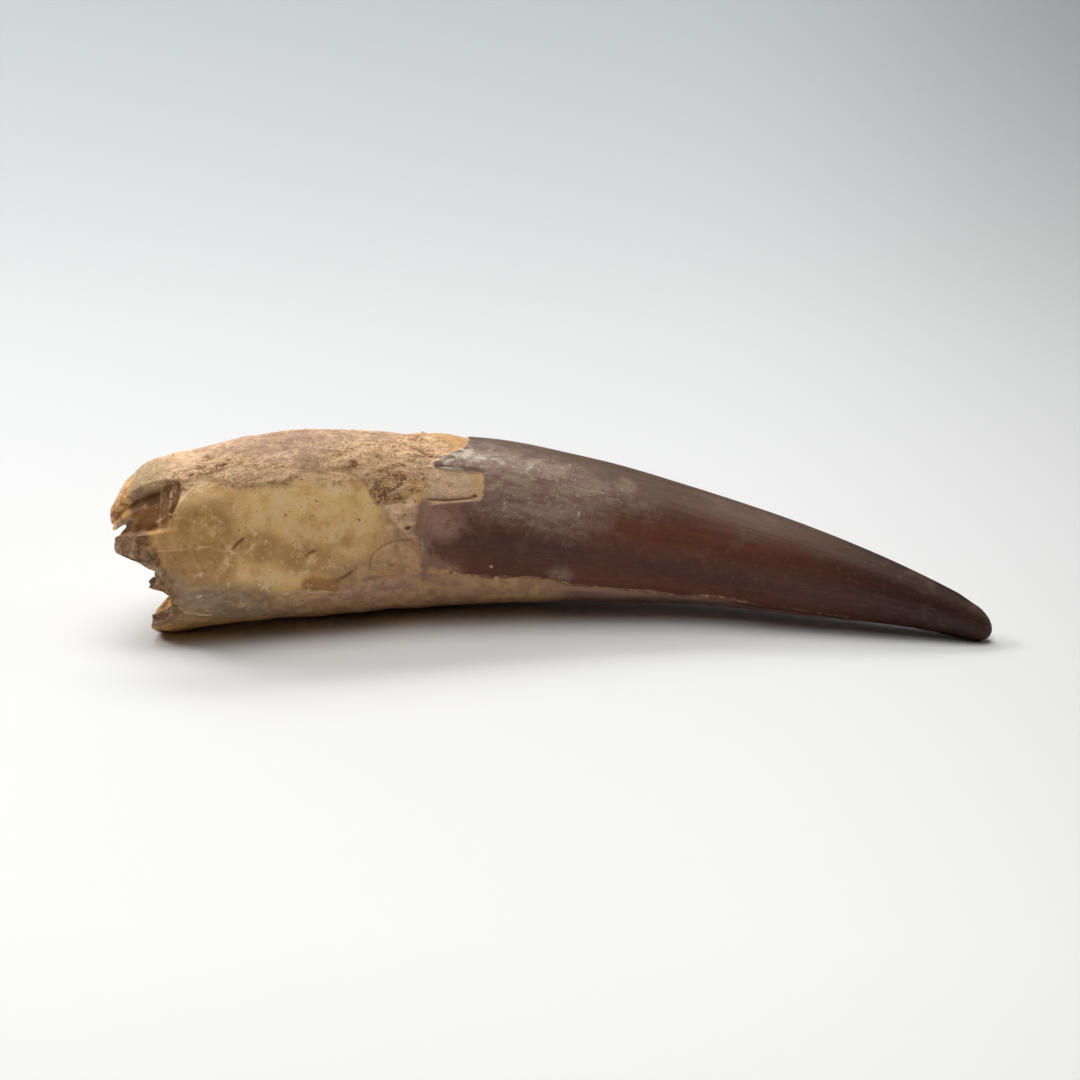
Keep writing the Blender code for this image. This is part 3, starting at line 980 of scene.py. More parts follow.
    def fine_relief(self, x: Array, angle: Array, enamel: Array, crust: Array) -> tuple[Array, Array]:
        """The fossil's texture: crust, bone grain, pits, grooves, chip, crinkled enamel, crumbled edge.

        Args:
            x: places along the tooth.
            angle: places round it.
            enamel: depth inside the enamel.
            crust: depth inside the crust.

        Returns:
            Heights in millimetres, and what is painted in them: from 1, dark dirt and painted shade, to -1,
            pale scratches and painted glints.
        """
        base = self.form.oval(x, angle)
        woody = self.stretched(x, angle, self.along_stretch)
        on_crust = smooth_step(*self.crust_fade, crust)
        bare = 1 - smooth_step(*self.enamel_fade, enamel)
        sandy = self.stain_share(Stain.SANDY, x, angle) * bare
        hollow = self.stain_share(Stain.HOLLOW, x, angle) * bare
        grounds = np.stack([on_crust, sandy, hollow])
        gritty = np.clip(np.tensordot(self.grit_on, grounds, 1), 0.0, 1.2)
        rise = np.clip(np.tensordot(self.rough_on, grounds, 1), 0.0, 1.2) * self.rough.rise(woody)
        rise += gritty * self.grit.rise(woody)
        rise += bare * (self.bone_wave.rise(base) + self.bone_grain.rise(woody))

        bends = [self.pit_bend._replace(seed=self.pit_bend.seed + axis).rise(base) for axis in range(3)]
        bent = woody + np.stack(bends, axis=-1)
        patina = smooth_step(*self.patina_fade, self.patina.rise(base))
        big = self.big_pits.shape(bent) * np.clip(np.tensordot(self.big_pits_on, grounds, 1), 0.0, 1.0)
        small = self.small_pits.shape(bent) * bare * np.clip(0.4 * patina + gritty, 0.0, 1.0)
        rise -= self.big_pits.depth * big + self.small_pits.depth * small
        # dark dirt and painted shade in the pits
        dirt_shade_glint = np.maximum(self.big_pits.dirt_shade_glint * big, self.small_pits.dirt_shade_glint * small)
        rise, dirt_shade_glint = self.carve(x, angle, rise, dirt_shade_glint)
        rise += self.chip_relief(x, angle, base)
        rise += self.enamel_relief(x, angle, enamel, base)
        rise += self.edge_relief(x, angle, base)
        return rise, dirt_shade_glint

    def carve(self, x: Array, angle: Array, rise: Array, dirt_shade_glint: Array) -> tuple[Array, Array]:
        """Cuts the single pits, then the grooves, into a relief, with their dirt, painted shade and painted
        glints.

        Args:
            x: places along the tooth.
            angle: places round it.
            rise: heights so far.
            dirt_shade_glint: dirt, painted shade and painted glints so far.

        Returns:
            The heights, and the dirt, painted shade and painted glints, with pits and grooves.
        """
        for mark in self.pits:
            pit = self.form.mark_rise(mark, x, angle)
            rise = rise + pit
            dirt_shade_glint = np.maximum(dirt_shade_glint, np.clip(-pit / self.dark_pit_depth, 0.0, 1.0))
        for groove in self.grooves:
            shape = self.groove_shape(groove, x, angle)
            rise = rise - groove.depth * shape
            dirt_shade_glint = np.where(shape > 0.05, dirt_shade_glint * (1 - shape) + groove.colour * shape, dirt_shade_glint)
        return rise, dirt_shade_glint

    def chip_relief(self, x: Array, angle: Array, base: Array) -> Array:
        """Carries the chip's floor on to the slit behind it, rising a little, and gives it shallow lumps.

        Args:
            x: places along the tooth.
            angle: places round it.
            base: points of the oval there.

        Returns:
            Heights: what the floor lies deeper than the chip's own floor, negative.
        """
        form = self.form
        floor = self.chip_floor_depth - self.chip_floor_rise * smooth_step(*self.chip_floor_rises, x)
        floor = floor * (1 - smooth_step(*self.chip_floor_ends, x))
        own = form.chip_depth * (1 - smooth_step(form.chip_end_x - form.chip_wall, form.chip_end_x, x))
        deeper = (own - floor) * form.chip(form.root_x + 0 * x, angle)
        return deeper - form.chip(x, angle) * self.chip_lumps.rise(base)

    def enamel_relief(self, x: Array, angle: Array, enamel: Array, base: Array) -> Array:
        """Wears the enamel's step on the front; adds its crinkles, silvery lumps and fine streaks.

        Args:
            x: places along the tooth.
            angle: places round it.
            enamel: depth inside the enamel.
            base: points of the oval there.

        Returns:
            Heights: a gentle S less the sharp one on the worn part, and ridges 1 - 2 |noise| on the film.
        """
        form = self.form
        worn = form.worn(x, angle, form.worn_step_half_angle)
        sharp = smooth_step(-form.enamel_edge / 2, form.enamel_edge / 2, enamel)
        rise = form.enamel_thickness * worn * (smooth_step(*self.worn_step, enamel) - sharp)
        on_enamel = smooth_step(*self.enamel_fade, enamel)
        film = self.stain_share(Stain.FILM, x, angle) * on_enamel
        silver = self.stain_share(Stain.SILVER, x, angle) * on_enamel
        crinkle = self.crinkle.rise(self.stretched(x, angle, self.crinkle_stretch))
        rise += self.crinkle_height * film * (1 - 2 * np.abs(crinkle))
        rise += silver * self.silver_lumps.rise(base)
        return rise + on_enamel * self.streaks.rise(self.stretched(x, angle, self.streak_stretch))

    def edge_relief(self, x: Array, angle: Array, base: Array) -> Array:
        """Crumbles the skin beside the broken edge and lumps the glazed spurs."""
        from_edge = x - self.form.broken_edge.straight(turn(angle))
        rise = (1 - smooth_step(*self.crumbled_edge, from_edge)) * self.crumbs.rise(base)
        return rise + self.stain_share(Stain.GLAZE, x, angle) * self.glaze_lumps.rise(base)

    def flow(self, x: Array, angle: Array) -> Array:
        """Places on a cylinder as wide as the root, for patterns that follow its length."""
        turned = np.radians(angle) + 0 * x
        radius = self.form.pattern_radius
        return np.stack([x + 0 * turned, radius * np.cos(turned), radius * np.sin(turned)], axis=-1)

    def skin(self, columns: Array, rows: dict[str, Array]) -> Skin:
        """The whole closed grid with its fields.

        Args:
            columns: angles of the columns.
            rows: the places of the rows: "tip" angles, "outside" places, "break" and "cavity" shares.

        Returns:
            The points, the fields on them and the two poles.
        """
        form, angle = self.form, columns[None, :]
        edge_x = form.broken_edge.straight(turn(angle))

        cap = np.radians(rows["tip"])[:, None]
        cap_x = form.tip_x - form.tip_radius + form.tip_radius * np.sin(cap) + 0 * angle
        tip_rise = form.oval(cap_x, angle + 0 * cap, share=np.cos(cap))

        nominal = rows["outside"][:, None]
        reach = np.clip((form.ragged_from_x - nominal) / (form.ragged_from_x - form.root_x), 0.0, 1.0)
        x = nominal + reach**form.ragged_easing * (edge_x - form.root_x)
        around = np.broadcast_to(angle, x.shape)
        enamel, crust = form.enamel_depth(x, around), form.crust_depth(x, around)
        fine, dirt_shade_glint = self.fine_relief(x, around, enamel, crust)
        rise = form.broad_relief(x, around, enamel, crust) + fine
        outside = form.oval(x, around) + rise[..., None] * form.outward(x, around)

        depth = rows["cavity"][:, None]
        cavity_x = edge_x + (form.cavity_floor_x - edge_x) * depth
        below = smooth_step(*self.lip_from, -turn(angle)) * (1 - smooth_step(*self.lip_to, -turn(angle)))
        thinned = below * (1 - smooth_step(0.0, self.lip_depth, depth)) * (form.wall(angle) - self.lip_wall)
        inset = form.wall(angle) - thinned
        inset = inset + form.chip_inner_share * form.chip_depth * form.chip(cavity_x, angle + 0 * depth)
        cavity = form.oval(cavity_x, angle + 0 * depth, inset=inset, share=np.sqrt(1 - depth**2))
        roughness = self.cavity_roughness + self.matrix_roughness * smooth_step(*self.matrix_depth, depth)
        lumps = self.cavity_lumps.rise(cavity) * roughness
        middle = np.stack([cavity_x, form.middle_y(cavity_x), form.middle_height(cavity_x)], axis=-1)
        inward = middle - cavity
        inward /= np.maximum(np.linalg.norm(inward, axis=-1, keepdims=True), 1e-6)
        fade = smooth_step(0.0, 0.1, depth) * (1 - smooth_step(0.97, 1.0, depth))
        cavity = cavity + inward * (lumps * fade)[..., None]

        share = rows["break"][:, None, None]
        across = outside[-1:] + (cavity[:1] - outside[-1:]) * share
        hump = (np.sin(np.pi * rows["break"]) ** 0.6)[:, None]
        across[..., 0] += hump * form.break_wave.rise(across)
        across[..., 0] += hump * self.break_lumps.rise(across)

        points = np.concatenate([tip_rise, outside, across, cavity])
        points[..., 2] = np.maximum(points[..., 2], 0.0)
        break_x = np.repeat(x[-1:], len(across), axis=0)
        parts = {"tip": cap_x, "outside": x, "break": break_x, "cavity": cavity_x}
        ground = {"angle": around, "enamel": enamel, "crust": crust, "relief": fine, "dirt_shade_glint": dirt_shade_glint}
        fields = self.fields(parts, ground, depth)
        tip = np.array([form.tip_x, points[0, :, 1].mean(), points[0, :, 2].mean()])
        deep = np.array(form.cavity_floor_x)
        floor = np.array([form.cavity_floor_x, float(form.middle_y(deep)), float(form.middle_height(deep))])
        return Skin(points, fields, tip, floor)

    def fields(self, parts: dict[str, Array], ground: dict[str, Array], depth: Array) -> dict[str, Array]:
        """What the material reads: one value for each point, named for what it says.

        Args:
            parts: x of the points of each part: "tip", "outside", "break" and "cavity".
            ground: "angle", "enamel", "crust", "relief" and "dirt" (dark dirt and painted shade, pale
                scratches and painted glints) of the outside's points.
            depth: share of the cavity's depth at its rows.

        Returns:
            Arrays of the whole grid's shape.
        """
        x, angle = parts["outside"], ground["angle"]

        def joined(cap: float, outside: float | Array, across: float, cavity: float | Array) -> Array:
            """The four parts of the grid, one under the other."""
            values = zip(parts.values(), (cap, outside, across, cavity))
            return np.concatenate([np.broadcast_to(value, part.shape) for part, value in values])

        off = -DEPTH_REACH
        edge = np.clip(x - self.form.broken_edge.straight(turn(angle)), 0.0, FAR_FROM_EDGE)
        fields = {
            "enamel": joined(DEPTH_REACH, within_reach(ground["enamel"]), off, off),
            "crust": joined(off, within_reach(ground["crust"]), off, off),
            "relief": joined(0.0, ground["relief"], 0.0, 0.0),
            "dirt_shade_glint": joined(0.0, ground["dirt_shade_glint"], 0.0, 0.0),
            "edge": joined(FAR_FROM_EDGE, edge, 0.0, 0.0),
            "chip": joined(0.0, self.form.chip(x, angle), 0.0, 0.0),
            "broken": joined(0.0, 0.0, 1.0, 0.0),
            "inner": joined(0.0, 0.0, 0.0, smooth_step(0.0, 0.06, depth)),
            "depth": joined(0.0, 0.0, 0.0, depth),
            "strip": joined(off, self.form.strip_depth(x, angle), off, off),
            "line": joined(off, self.form.line_depth(x, angle), off, off),
            "along": np.concatenate(list(parts.values())),
        }
        for stain in Stain:
            depths = self.stain_field(stain, x, angle)
            fields[stain.value] = joined(OFF_STAIN, depths, OFF_STAIN, OFF_STAIN)
        turned = np.radians(np.broadcast_to(angle[:1], fields["along"].shape))
        fields["around_cos"] = self.form.pattern_radius * np.cos(turned)
        fields["around_sin"] = self.form.pattern_radius * np.sin(turned)
        fields["angle"] = np.broadcast_to(turn(angle[:1]), fields["along"].shape)
        fields["climb"] = 90.0 - np.abs(turn(fields["angle"] - 90.0))
        return fields


# -------- meshes


def make_object(name: str, points: Array, faces: list, fields: dict[str, Array]) -> bpy.types.Object:
    """A smooth-shaded mesh object at the origin, with a point attribute for each field.

    Args:
        name: name of the object and its mesh.
        points: places (n, 3) in metres.
        faces: lists of point numbers.
        fields: values (n,) by attribute name.

    Returns:
        The object, linked to the scene.
    """
    mesh = bpy.data.meshes.new(name)
    mesh.from_pydata(points.tolist(), [], faces)
    for field_name, values in fields.items():
        attribute = mesh.attributes.new(field_name, "FLOAT", "POINT")
        attribute.data.foreach_set("value", np.ascontiguousarray(values, dtype=np.float32).ravel())
    mesh.shade_smooth()
    mesh.update()
    made = bpy.data.objects.new(name, mesh)
    bpy.context.scene.collection.objects.link(made)
    return made


def ring_faces(rows: int, columns: int) -> Array:
    """Four-sided faces of a closed-round grid, each (here, below, below right, right), facing outwards.

    Args:
        rows: number of rows.
        columns: number of columns.

    Returns:
        Point numbers (faces, 4).
    """
    row, column = np.meshgrid(np.arange(rows - 1), np.arange(columns), indexing="ij")
    right = (column + 1) % columns
    here, below = row * columns, (row + 1) * columns
    return np.stack([here + column, below + column, below + right, here + right], axis=-1).reshape(-1, 4)


def fan_faces(pole: int, ring: Array, outward: bool) -> Array:
    """Triangles from a ring to a pole.

    Args:
        pole: the pole's point number.
        ring: point numbers of the ring.
        outward: whether the triangles go round as the ring does.

    Returns:
        Point numbers (faces, 3).
    """
    following = np.roll(ring, -1)
    pair = (ring, following) if outward else (following, ring)
    return np.stack([np.full(len(ring), pole), *pair], axis=-1)


@dataclass
class Tooth:
    """The fossil itself: one closed skin."""

    name: str = "tooth_skin"
    form: ToothForm = field(default_factory=ToothForm)
    tip_rows: int = 9
    crown_rows: int = 64
    root_rows: int = 206
    break_rows: int = 6
    cavity_rows: int = 34
    front_columns: int = 240
    back_columns: int = 72
    front_low_angle: float = -88.0
    front_high_angle: float = 122.0
    first_tip_angle: float = 84.0
    crown_easing: float = 0.8
    cavity_easing: float = 1.1
    dense_before_x: float = -7.0

    def columns(self) -> Array:
        """Angles of the columns, closer together on the front than on the back."""
        low, high = self.front_low_angle, self.front_high_angle
        front = np.linspace(low, high, self.front_columns, endpoint=False)
        rest = np.linspace(high, low + 360.0, self.back_columns, endpoint=False)
        return np.concatenate([front, rest])

    def rows(self) -> dict[str, Array]:
        """Places of the rows of each part of the grid: closest together on the root."""
        shoulder = self.form.tip_x - self.form.tip_radius
        crown = np.linspace(0.0, 1.0, self.crown_rows + 1)[1:] ** self.crown_easing
        crown_x = shoulder + (self.dense_before_x - shoulder) * crown
        root_x = np.linspace(crown_x[-1], self.form.root_x, self.root_rows + 1)[1:]
        return {
            "tip": np.linspace(self.first_tip_angle, 0.0, self.tip_rows),
            "outside": np.concatenate([crown_x, root_x]),
            "break": np.linspace(0.0, 1.0, self.break_rows + 2)[1:-1],
            "cavity": np.linspace(0.0, 1.0, self.cavity_rows + 1)[:-1] ** self.cavity_easing,
        }

    def build(self, weathering: Weathering) -> tuple[bpy.types.Object, Skin]:
        """Makes the skin and puts it where the solid is.

        Args:
            weathering: gives the surface and its fields.

        Returns:
            The object, and the grid it was made from, in millimetres.
        """
        skin = weathering.skin(self.columns(), self.rows())
        low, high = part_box(TOOTH_NODE)
        extent = np.concatenate([skin.points.reshape(-1, 3), skin.tip[None, :]])
        shift = (np.array(low) + np.array(high)) / 2 / MM - (extent.min(axis=0) + extent.max(axis=0)) / 2
        shift[2] = 0.0
        skin.points, skin.tip, skin.floor = skin.points + shift, skin.tip + shift, skin.floor + shift
        rows, columns = skin.points.shape[:2]
        count = rows * columns
        points = np.concatenate([skin.points.reshape(-1, 3), [skin.tip, skin.floor]]) * MM
        faces = ring_faces(rows, columns).tolist()
        faces += fan_faces(count, np.arange(columns), outward=True).tolist()
        faces += fan_faces(count + 1, np.arange(count - columns, count), outward=False).tolist()
        fields = {}
        for name, values in skin.fields.items():
            fields[name] = np.append(values.ravel(), [values[0, 0], values[-1, 0]])
        tooth = make_object(self.name, points, faces, fields)
        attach(tooth, "root")
        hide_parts(TOOTH_NODE)
        return tooth, skin


@dataclass
class SandGrains:
    """Grains of sand stuck to the crust, the hollow and the edge of the root, joined in one mesh."""

    name: str = "sand_grains"
    count: int = 4200
    least: float = 0.06
    most: float = 0.2
    sunk: float = 0.36
    smallness: float = 2.2
    seed: int = 7
    on_bone: float = 0.01
    on_crust: float = 0.1
    on_bare_sand: float = 0.4
    on_sandy_crust: float = 0.6
    in_hollow: float = 1.2
    on_rim: float = 0.5
    beside_enamel: float = 0.22
    beside_ends_x: float = 30.0
    kept_off_chip: float = 0.9
    in_cavity: float = 0.25
    least_height: float = 1.5
    floor_gap: float = 0.05

    def places(self, skin: Skin, rng: np.random.Generator) -> tuple[Array, Array]:
        """Random places on the skin, more of them where the ground is sandy.

        Args:
            skin: the tooth's grid.
            rng: the source of chance.

        Returns:
            Row and column numbers of the chosen points.
        """
        fields = skin.fields
        bare = 1 - smooth_step(-0.6, 0.1, fields["enamel"])
        crust = smooth_step(-0.3, 0.8, fields["crust"])
        sandy = smooth_step(-1.2, 1.2, fields[Stain.SANDY.value])
        hollow = smooth_step(-0.3, 0.4, fields[Stain.HOLLOW.value])
        rim = 1 - smooth_step(0.0, 0.9, np.abs(fields["crust"]))
        rim *= smooth_step(-60.0, -56.0, fields["along"])
        beside = 1 - smooth_step(0.0, 0.5, np.abs(fields["enamel"] + 0.2))
        beside *= fields["along"] < self.beside_ends_x
        sandy *= self.on_bare_sand + self.on_sandy_crust * crust
        ground = self.on_crust * crust + sandy + self.in_hollow * hollow + self.on_rim * rim + self.on_bone
        weight = bare * ground + self.beside_enamel * beside
        weight *= 1 - self.kept_off_chip * fields["chip"]
        weight *= np.where((fields["inner"] > 0) | (fields["broken"] > 0), 0.0, 1.0)
        weight += self.in_cavity * smooth_step(0.3, 0.7, fields["depth"])
        points = skin.points
        width = np.linalg.norm(np.roll(points, -1, axis=1) - points, axis=-1)
        length = np.zeros(width.shape)
        length[:-1] = np.linalg.norm(points[1:] - points[:-1], axis=-1)
        weight = weight * width * length
        weight *= points[..., 2] > self.least_height
        chosen = rng.choice(weight.size, size=self.count, replace=False, p=weight.ravel() / weight.sum())
        return np.unravel_index(chosen, weight.shape)

    def build(self, skin: Skin) -> bpy.types.Object:
        """Makes all grains at once: a rough twenty-sided stone, scaled, squashed and turned at each place.

        Args:
            skin: the tooth's grid, in millimetres.

        Returns:
            The object.
        """
        rng = np.random.default_rng(self.seed)
        row, column = self.places(skin, rng)
        points = skin.points
        centre = points[row, column]
        along = points[np.minimum(row + 1, len(points) - 1), column] - points[row - 1, column]
        round_ = points[row, (column + 1) % points.shape[1]] - points[row, column - 1]
        normal = np.cross(along, round_)
        normal /= np.maximum(np.linalg.norm(normal, axis=-1, keepdims=True), 1e-9)

        golden = (1 + 5**0.5) / 2
        shape = np.array([
            (-1, golden, 0), (1, golden, 0), (-1, -golden, 0), (1, -golden, 0),
            (0, -1, golden), (0, 1, golden), (0, -1, -golden), (0, 1, -golden),
            (golden, 0, -1), (golden, 0, 1), (-golden, 0, -1), (-golden, 0, 1),
        ]) / np.hypot(1, golden)
        sides = np.array([
            (0, 11, 5), (0, 5, 1), (0, 1, 7), (0, 7, 10), (0, 10, 11),
            (1, 5, 9), (5, 11, 4), (11, 10, 2), (10, 7, 6), (7, 1, 8),
            (3, 9, 4), (3, 4, 2), (3, 2, 6), (3, 6, 8), (3, 8, 9),
            (4, 9, 5), (2, 4, 11), (6, 2, 10), (8, 6, 7), (9, 8, 1),
        ])
        size = self.least + (self.most - self.least) * rng.random(self.count) ** self.smallness
        squash = rng.uniform(0.65, 1.15, (self.count, 1, 3))
        rough = rng.uniform(0.8, 1.15, (self.count, len(shape), 1))
        axes = np.linalg.qr(rng.normal(size=(self.count, 3, 3)))[0]
        axes *= np.sign(np.linalg.det(axes))[:, None, None]
        local = shape[None] * rough * squash * size[:, None, None]
        middle = centre + normal * (size * (1 - 2 * self.sunk))[:, None]
        placed = np.einsum("nij,nkj->nki", axes, local) + middle[:, None]
        placed[..., 2] = np.maximum(placed[..., 2], self.floor_gap)
        faces = (sides[None] + (np.arange(self.count) * len(shape))[:, None, None]).reshape(-1, 3)
        tone = np.repeat(rng.random(self.count), len(shape))
        grains = make_object(self.name, placed.reshape(-1, 3) * MM, faces.tolist(), {"tone": tone})
        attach(grains, "root")
        return grains


# -------- materials


Colour = tuple[float, float, float]
WHITEST = 0.95  # the most that a painted surface throws back


def display(red: int, green: int, blue: int, gain: float = 1.0) -> Colour:
    """Linear colour of a display colour, ((c + 0.055) / 1.055)^2.4, times a gain, kept below the whitest.

    Args:
        red: from 0 to 255.
        green: from 0 to 255.
        blue: from 0 to 255.
        gain: what the linear colour is multiplied by.

    Returns:
        Linear red, green and blue.
    """
    share = np.array([red, green, blue]) / 255
    linear = np.where(share <= 0.04045, share / 12.92, ((share + 0.055) / 1.055) ** 2.4)
    linear = linear * min(gain, WHITEST / linear.max())
    return float(linear[0]), float(linear[1]), float(linear[2])


class Graph:
    """Short words for building a node tree."""

    def __init__(self, tree: bpy.types.NodeTree) -> None:
        """Keeps the tree."""
        self.tree = tree

    def node(self, kind: str, **settings: object) -> bpy.types.Node:
        """A new node of a kind, with its properties set.

        Args:
            kind: Blender's name for the node.
            settings: properties by name.

        Returns:
            The node.
        """
        made = self.tree.nodes.new(kind)
        for name, value in settings.items():
            setattr(made, name, value)
        return made

    def put(self, target: Socket, value: object) -> None:
        """Links a socket into the target, or sets the target's own value.

        Args:
            target: the input.
            value: a socket, a number or a colour.
        """
        if isinstance(value, bpy.types.NodeSocket):
            self.tree.links.new(value, target)
        elif isinstance(value, tuple) and len(value) == 3 and target.type == "RGBA":
            target.default_value = (*value, 1.0)
        else:
            target.default_value = value

    def read(self, name: str) -> Socket:
        """The value of a point attribute."""
        return self.node("ShaderNodeAttribute", attribute_name=name).outputs["Fac"]

    def math(self, operation: str, *values: object) -> Socket:
        """A Math node.

        Args:
            operation: its operation.
            values: its inputs, numbers or sockets.

        Returns:
            The result.
        """
        made = self.node("ShaderNodeMath", operation=operation)
        for target, value in zip(made.inputs, values):
            self.put(target, value)
        return made.outputs[0]

    def span(self, value: Socket, low: float, high: float, start: float = 0.0, end: float = 1.0) -> Socket:
        """A smooth S of a value between two limits.

        Args:
            value: what is read.
            low: where the S starts.
            high: where it ends.
            start: the result below low.
            end: the result above high.

        Returns:
            The result.
        """
        made = self.node("ShaderNodeMapRange", interpolation_type="SMOOTHSTEP")
        for target, number in zip(made.inputs, (value, low, high, start, end)):
            self.put(target, number)
        return made.outputs[0]

    def mix(self, kind: str, under: object, over: object, share: object) -> Socket:
        """A Mix node of colours or of numbers.

        Args:
            kind: RGBA or FLOAT.
            under: the first value.
            over: the second value.
            share: how much of the second shows.

        Returns:
            The mixed value.
        """
        made = self.node("ShaderNodeMix", data_type=kind)
        for name, value in (("Factor", share), ("A", under), ("B", over)):
            self.put(made.inputs[name], value)
        return made.outputs["Result"]

    def blend(self, under: object, over: object, share: object) -> Socket:
        """A colour that goes from one to another by a share."""
        return self.mix("RGBA", under, over, share)

    def shift(self, under: object, over: object, share: object) -> Socket:
        """A number that goes from one to another by a share."""
        return self.mix("FLOAT", under, over, share)

    def use(self, group: bpy.types.NodeTree, **values: object) -> Socket:
        """Places a node group and returns its first output.

        Args:
            group: the group.
            values: its inputs by name, with _ for a space.

        Returns:
            The first output.
        """
        made = self.node("ShaderNodeGroup", node_tree=group)
        for name, value in values.items():
            self.put(made.inputs[name.replace("_", " ")], value)
        return made.outputs[0]


def start_material(name: str) -> tuple[bpy.types.Material, Graph, bpy.types.Node]:
    """A new material with its graph and its shader.

    Args:
        name: name of the material.

    Returns:
        The material, the graph and the Principled BSDF.
    """
    material = bpy.data.materials.new(name)
    material.use_nodes = True
    return material, Graph(material.node_tree), material.node_tree.nodes["Principled BSDF"]


def make_clouds() -> bpy.types.NodeTree:
    """The node group both materials use: clouds drawn out along the first axis, from 0 to 1."""
    tree = bpy.data.node_groups.new("clouds", "ShaderNodeTree")
    tree.interface.new_socket("Place", in_out="INPUT", socket_type="NodeSocketVector")
    for label, value in {"Scale": 100.0, "Detail": 4.0, "Roughness": 0.6, "Stretch": 1.0}.items():
        socket = tree.interface.new_socket(label, in_out="INPUT", socket_type="NodeSocketFloat")
        socket.default_value = value
    tree.interface.new_socket("Value", in_out="OUTPUT", socket_type="NodeSocketFloat")
    graph = Graph(tree)
    given = graph.node("NodeGroupInput").outputs
    factors = graph.node("ShaderNodeCombineXYZ")
    for target, value in zip(factors.inputs, (graph.math("DIVIDE", 1.0, given["Stretch"]), 1.0, 1.0)):
        graph.put(target, value)
    drawn = graph.node("ShaderNodeVectorMath", operation="MULTIPLY")
    graph.put(drawn.inputs[0], given["Place"])
    graph.put(drawn.inputs[1], factors.outputs[0])
    noise = graph.node("ShaderNodeTexNoise")
    graph.put(noise.inputs["Vector"], drawn.outputs[0])
    for label in ("Scale", "Detail", "Roughness"):
        graph.put(noise.inputs[label], given[label])
    graph.put(graph.node("NodeGroupOutput").inputs["Value"], noise.outputs["Fac"])
    return tree


class Pattern(Enum):
    """The shared noises: scale, detail, roughness, and stretch along the tooth."""

    BROAD = (150.0, 4.0, 0.62, 1.0)
    MIDDLE = (430.0, 5.0, 0.68, 1.0)
    FINE = (1300.0, 3.0, 0.72, 1.0)
    WOOD = (760.0, 4.0, 0.78, 2.2)
    STREAK = (260.0, 4.0, 0.6, 6.0)
    HAIR = (1700.0, 2.0, 0.6, 11.0)


@dataclass(frozen=True)
class Finish:
    """Two colours that mottle into each other, their roughness, and the pattern of the mottle."""

    first: Colour
    second: Colour
    roughness: float
    pattern: Pattern = Pattern.MIDDLE
    low: float = 0.42
    high: float = 0.58


ROOT_GAIN = 1.8
CROWN_GAIN = 1.45


def bone(red: int, green: int, blue: int) -> Colour:
    """A colour of the root, as seen in the studio's light."""
    return display(red, green, blue, ROOT_GAIN)


def enamel(red: int, green: int, blue: int) -> Colour:
    """A colour of the crown, as seen in the studio's light."""
    return display(red, green, blue, CROWN_GAIN)


BONE = Finish(bone(170, 130, 82), bone(152, 114, 70), 0.5)
YELLOW_BONE = Finish(bone(199, 160, 106), bone(212, 176, 122), 0.42)
BROWN_BONE = Finish(bone(148, 110, 66), bone(164, 125, 80), 0.42)
GREY_BONE = Finish(bone(112, 92, 72), bone(136, 115, 92), 0.42, Pattern.WOOD, 0.38, 0.62)
TAN_BONE = Finish(bone(164, 130, 94), bone(140, 110, 84), 0.55)
UMBER_BONE = Finish(bone(150, 114, 82), bone(172, 136, 100), 0.55)
FLAKE_BONE = Finish(bone(148, 108, 64), bone(132, 96, 58), 0.5)
PINK_BONE = Finish(bone(160, 128, 104), bone(138, 108, 88), 0.6)
CRUST = Finish(bone(188, 156, 124), bone(164, 132, 102), 0.7)
SANDY_CRUST = Finish(bone(158, 124, 92), bone(188, 155, 120), 0.7, Pattern.WOOD, 0.42, 0.56)
GREY_CRUST = Finish(bone(136, 116, 86), bone(156, 130, 96), 0.7)
HOLLOW_GRIT = Finish(bone(98, 68, 50), bone(168, 130, 88), 0.8, Pattern.WOOD, 0.46, 0.6)
BUFF_BONE = Finish(bone(180, 150, 119), bone(158, 130, 105), 0.6, Pattern.WOOD)
OCHRE_BONE = Finish(bone(186, 150, 98), bone(168, 134, 90), 0.55)
BAND = Finish(bone(142, 112, 88), bone(120, 95, 80), 0.5)
DENTINE = Finish(bone(138, 108, 92), bone(116, 90, 80), 0.5, Pattern.STREAK)
TAN_LINE = Finish(bone(136, 100, 66), bone(104, 76, 56), 0.5)
CHIP_GLAZE = Finish(bone(108, 74, 42), bone(92, 62, 36), 0.34)
DARK_GLAZE = Finish(bone(92, 68, 50), bone(128, 98, 70), 0.16, Pattern.FINE)
BROKEN_BONE = Finish(bone(118, 88, 58), bone(84, 60, 42), 0.45, Pattern.FINE)
AMBER_BONE = Finish(bone(184, 144, 92), bone(132, 86, 54), 0.3, Pattern.MIDDLE, 0.46, 0.56)
CAVITY_BONE = Finish(bone(166, 134, 72), bone(136, 106, 58), 0.45)
MATRIX = Finish(bone(164, 128, 90), bone(132, 98, 66), 0.9, Pattern.FINE)
ENAMEL = Finish(enamel(93, 54, 43), enamel(87, 50, 41), 0.42, Pattern.STREAK)
RED_ENAMEL = Finish(enamel(100, 59, 44), enamel(94, 56, 43), 0.42, Pattern.STREAK)
DARK_ENAMEL = Finish(enamel(80, 46, 38), enamel(75, 43, 36), 0.42, Pattern.STREAK)
OLIVE_ENAMEL = Finish(enamel(88, 67, 54), enamel(80, 60, 48), 0.5, Pattern.STREAK)
TIP_ENAMEL = Finish(enamel(49, 31, 25), enamel(43, 28, 23), 0.45, Pattern.STREAK)
FILM_ENAMEL = Finish(enamel(144, 120, 106), enamel(120, 93, 81), 0.4, Pattern.WOOD, 0.38, 0.62)
PURPLE_ENAMEL = Finish(enamel(148, 116, 98), enamel(126, 92, 76), 0.45)
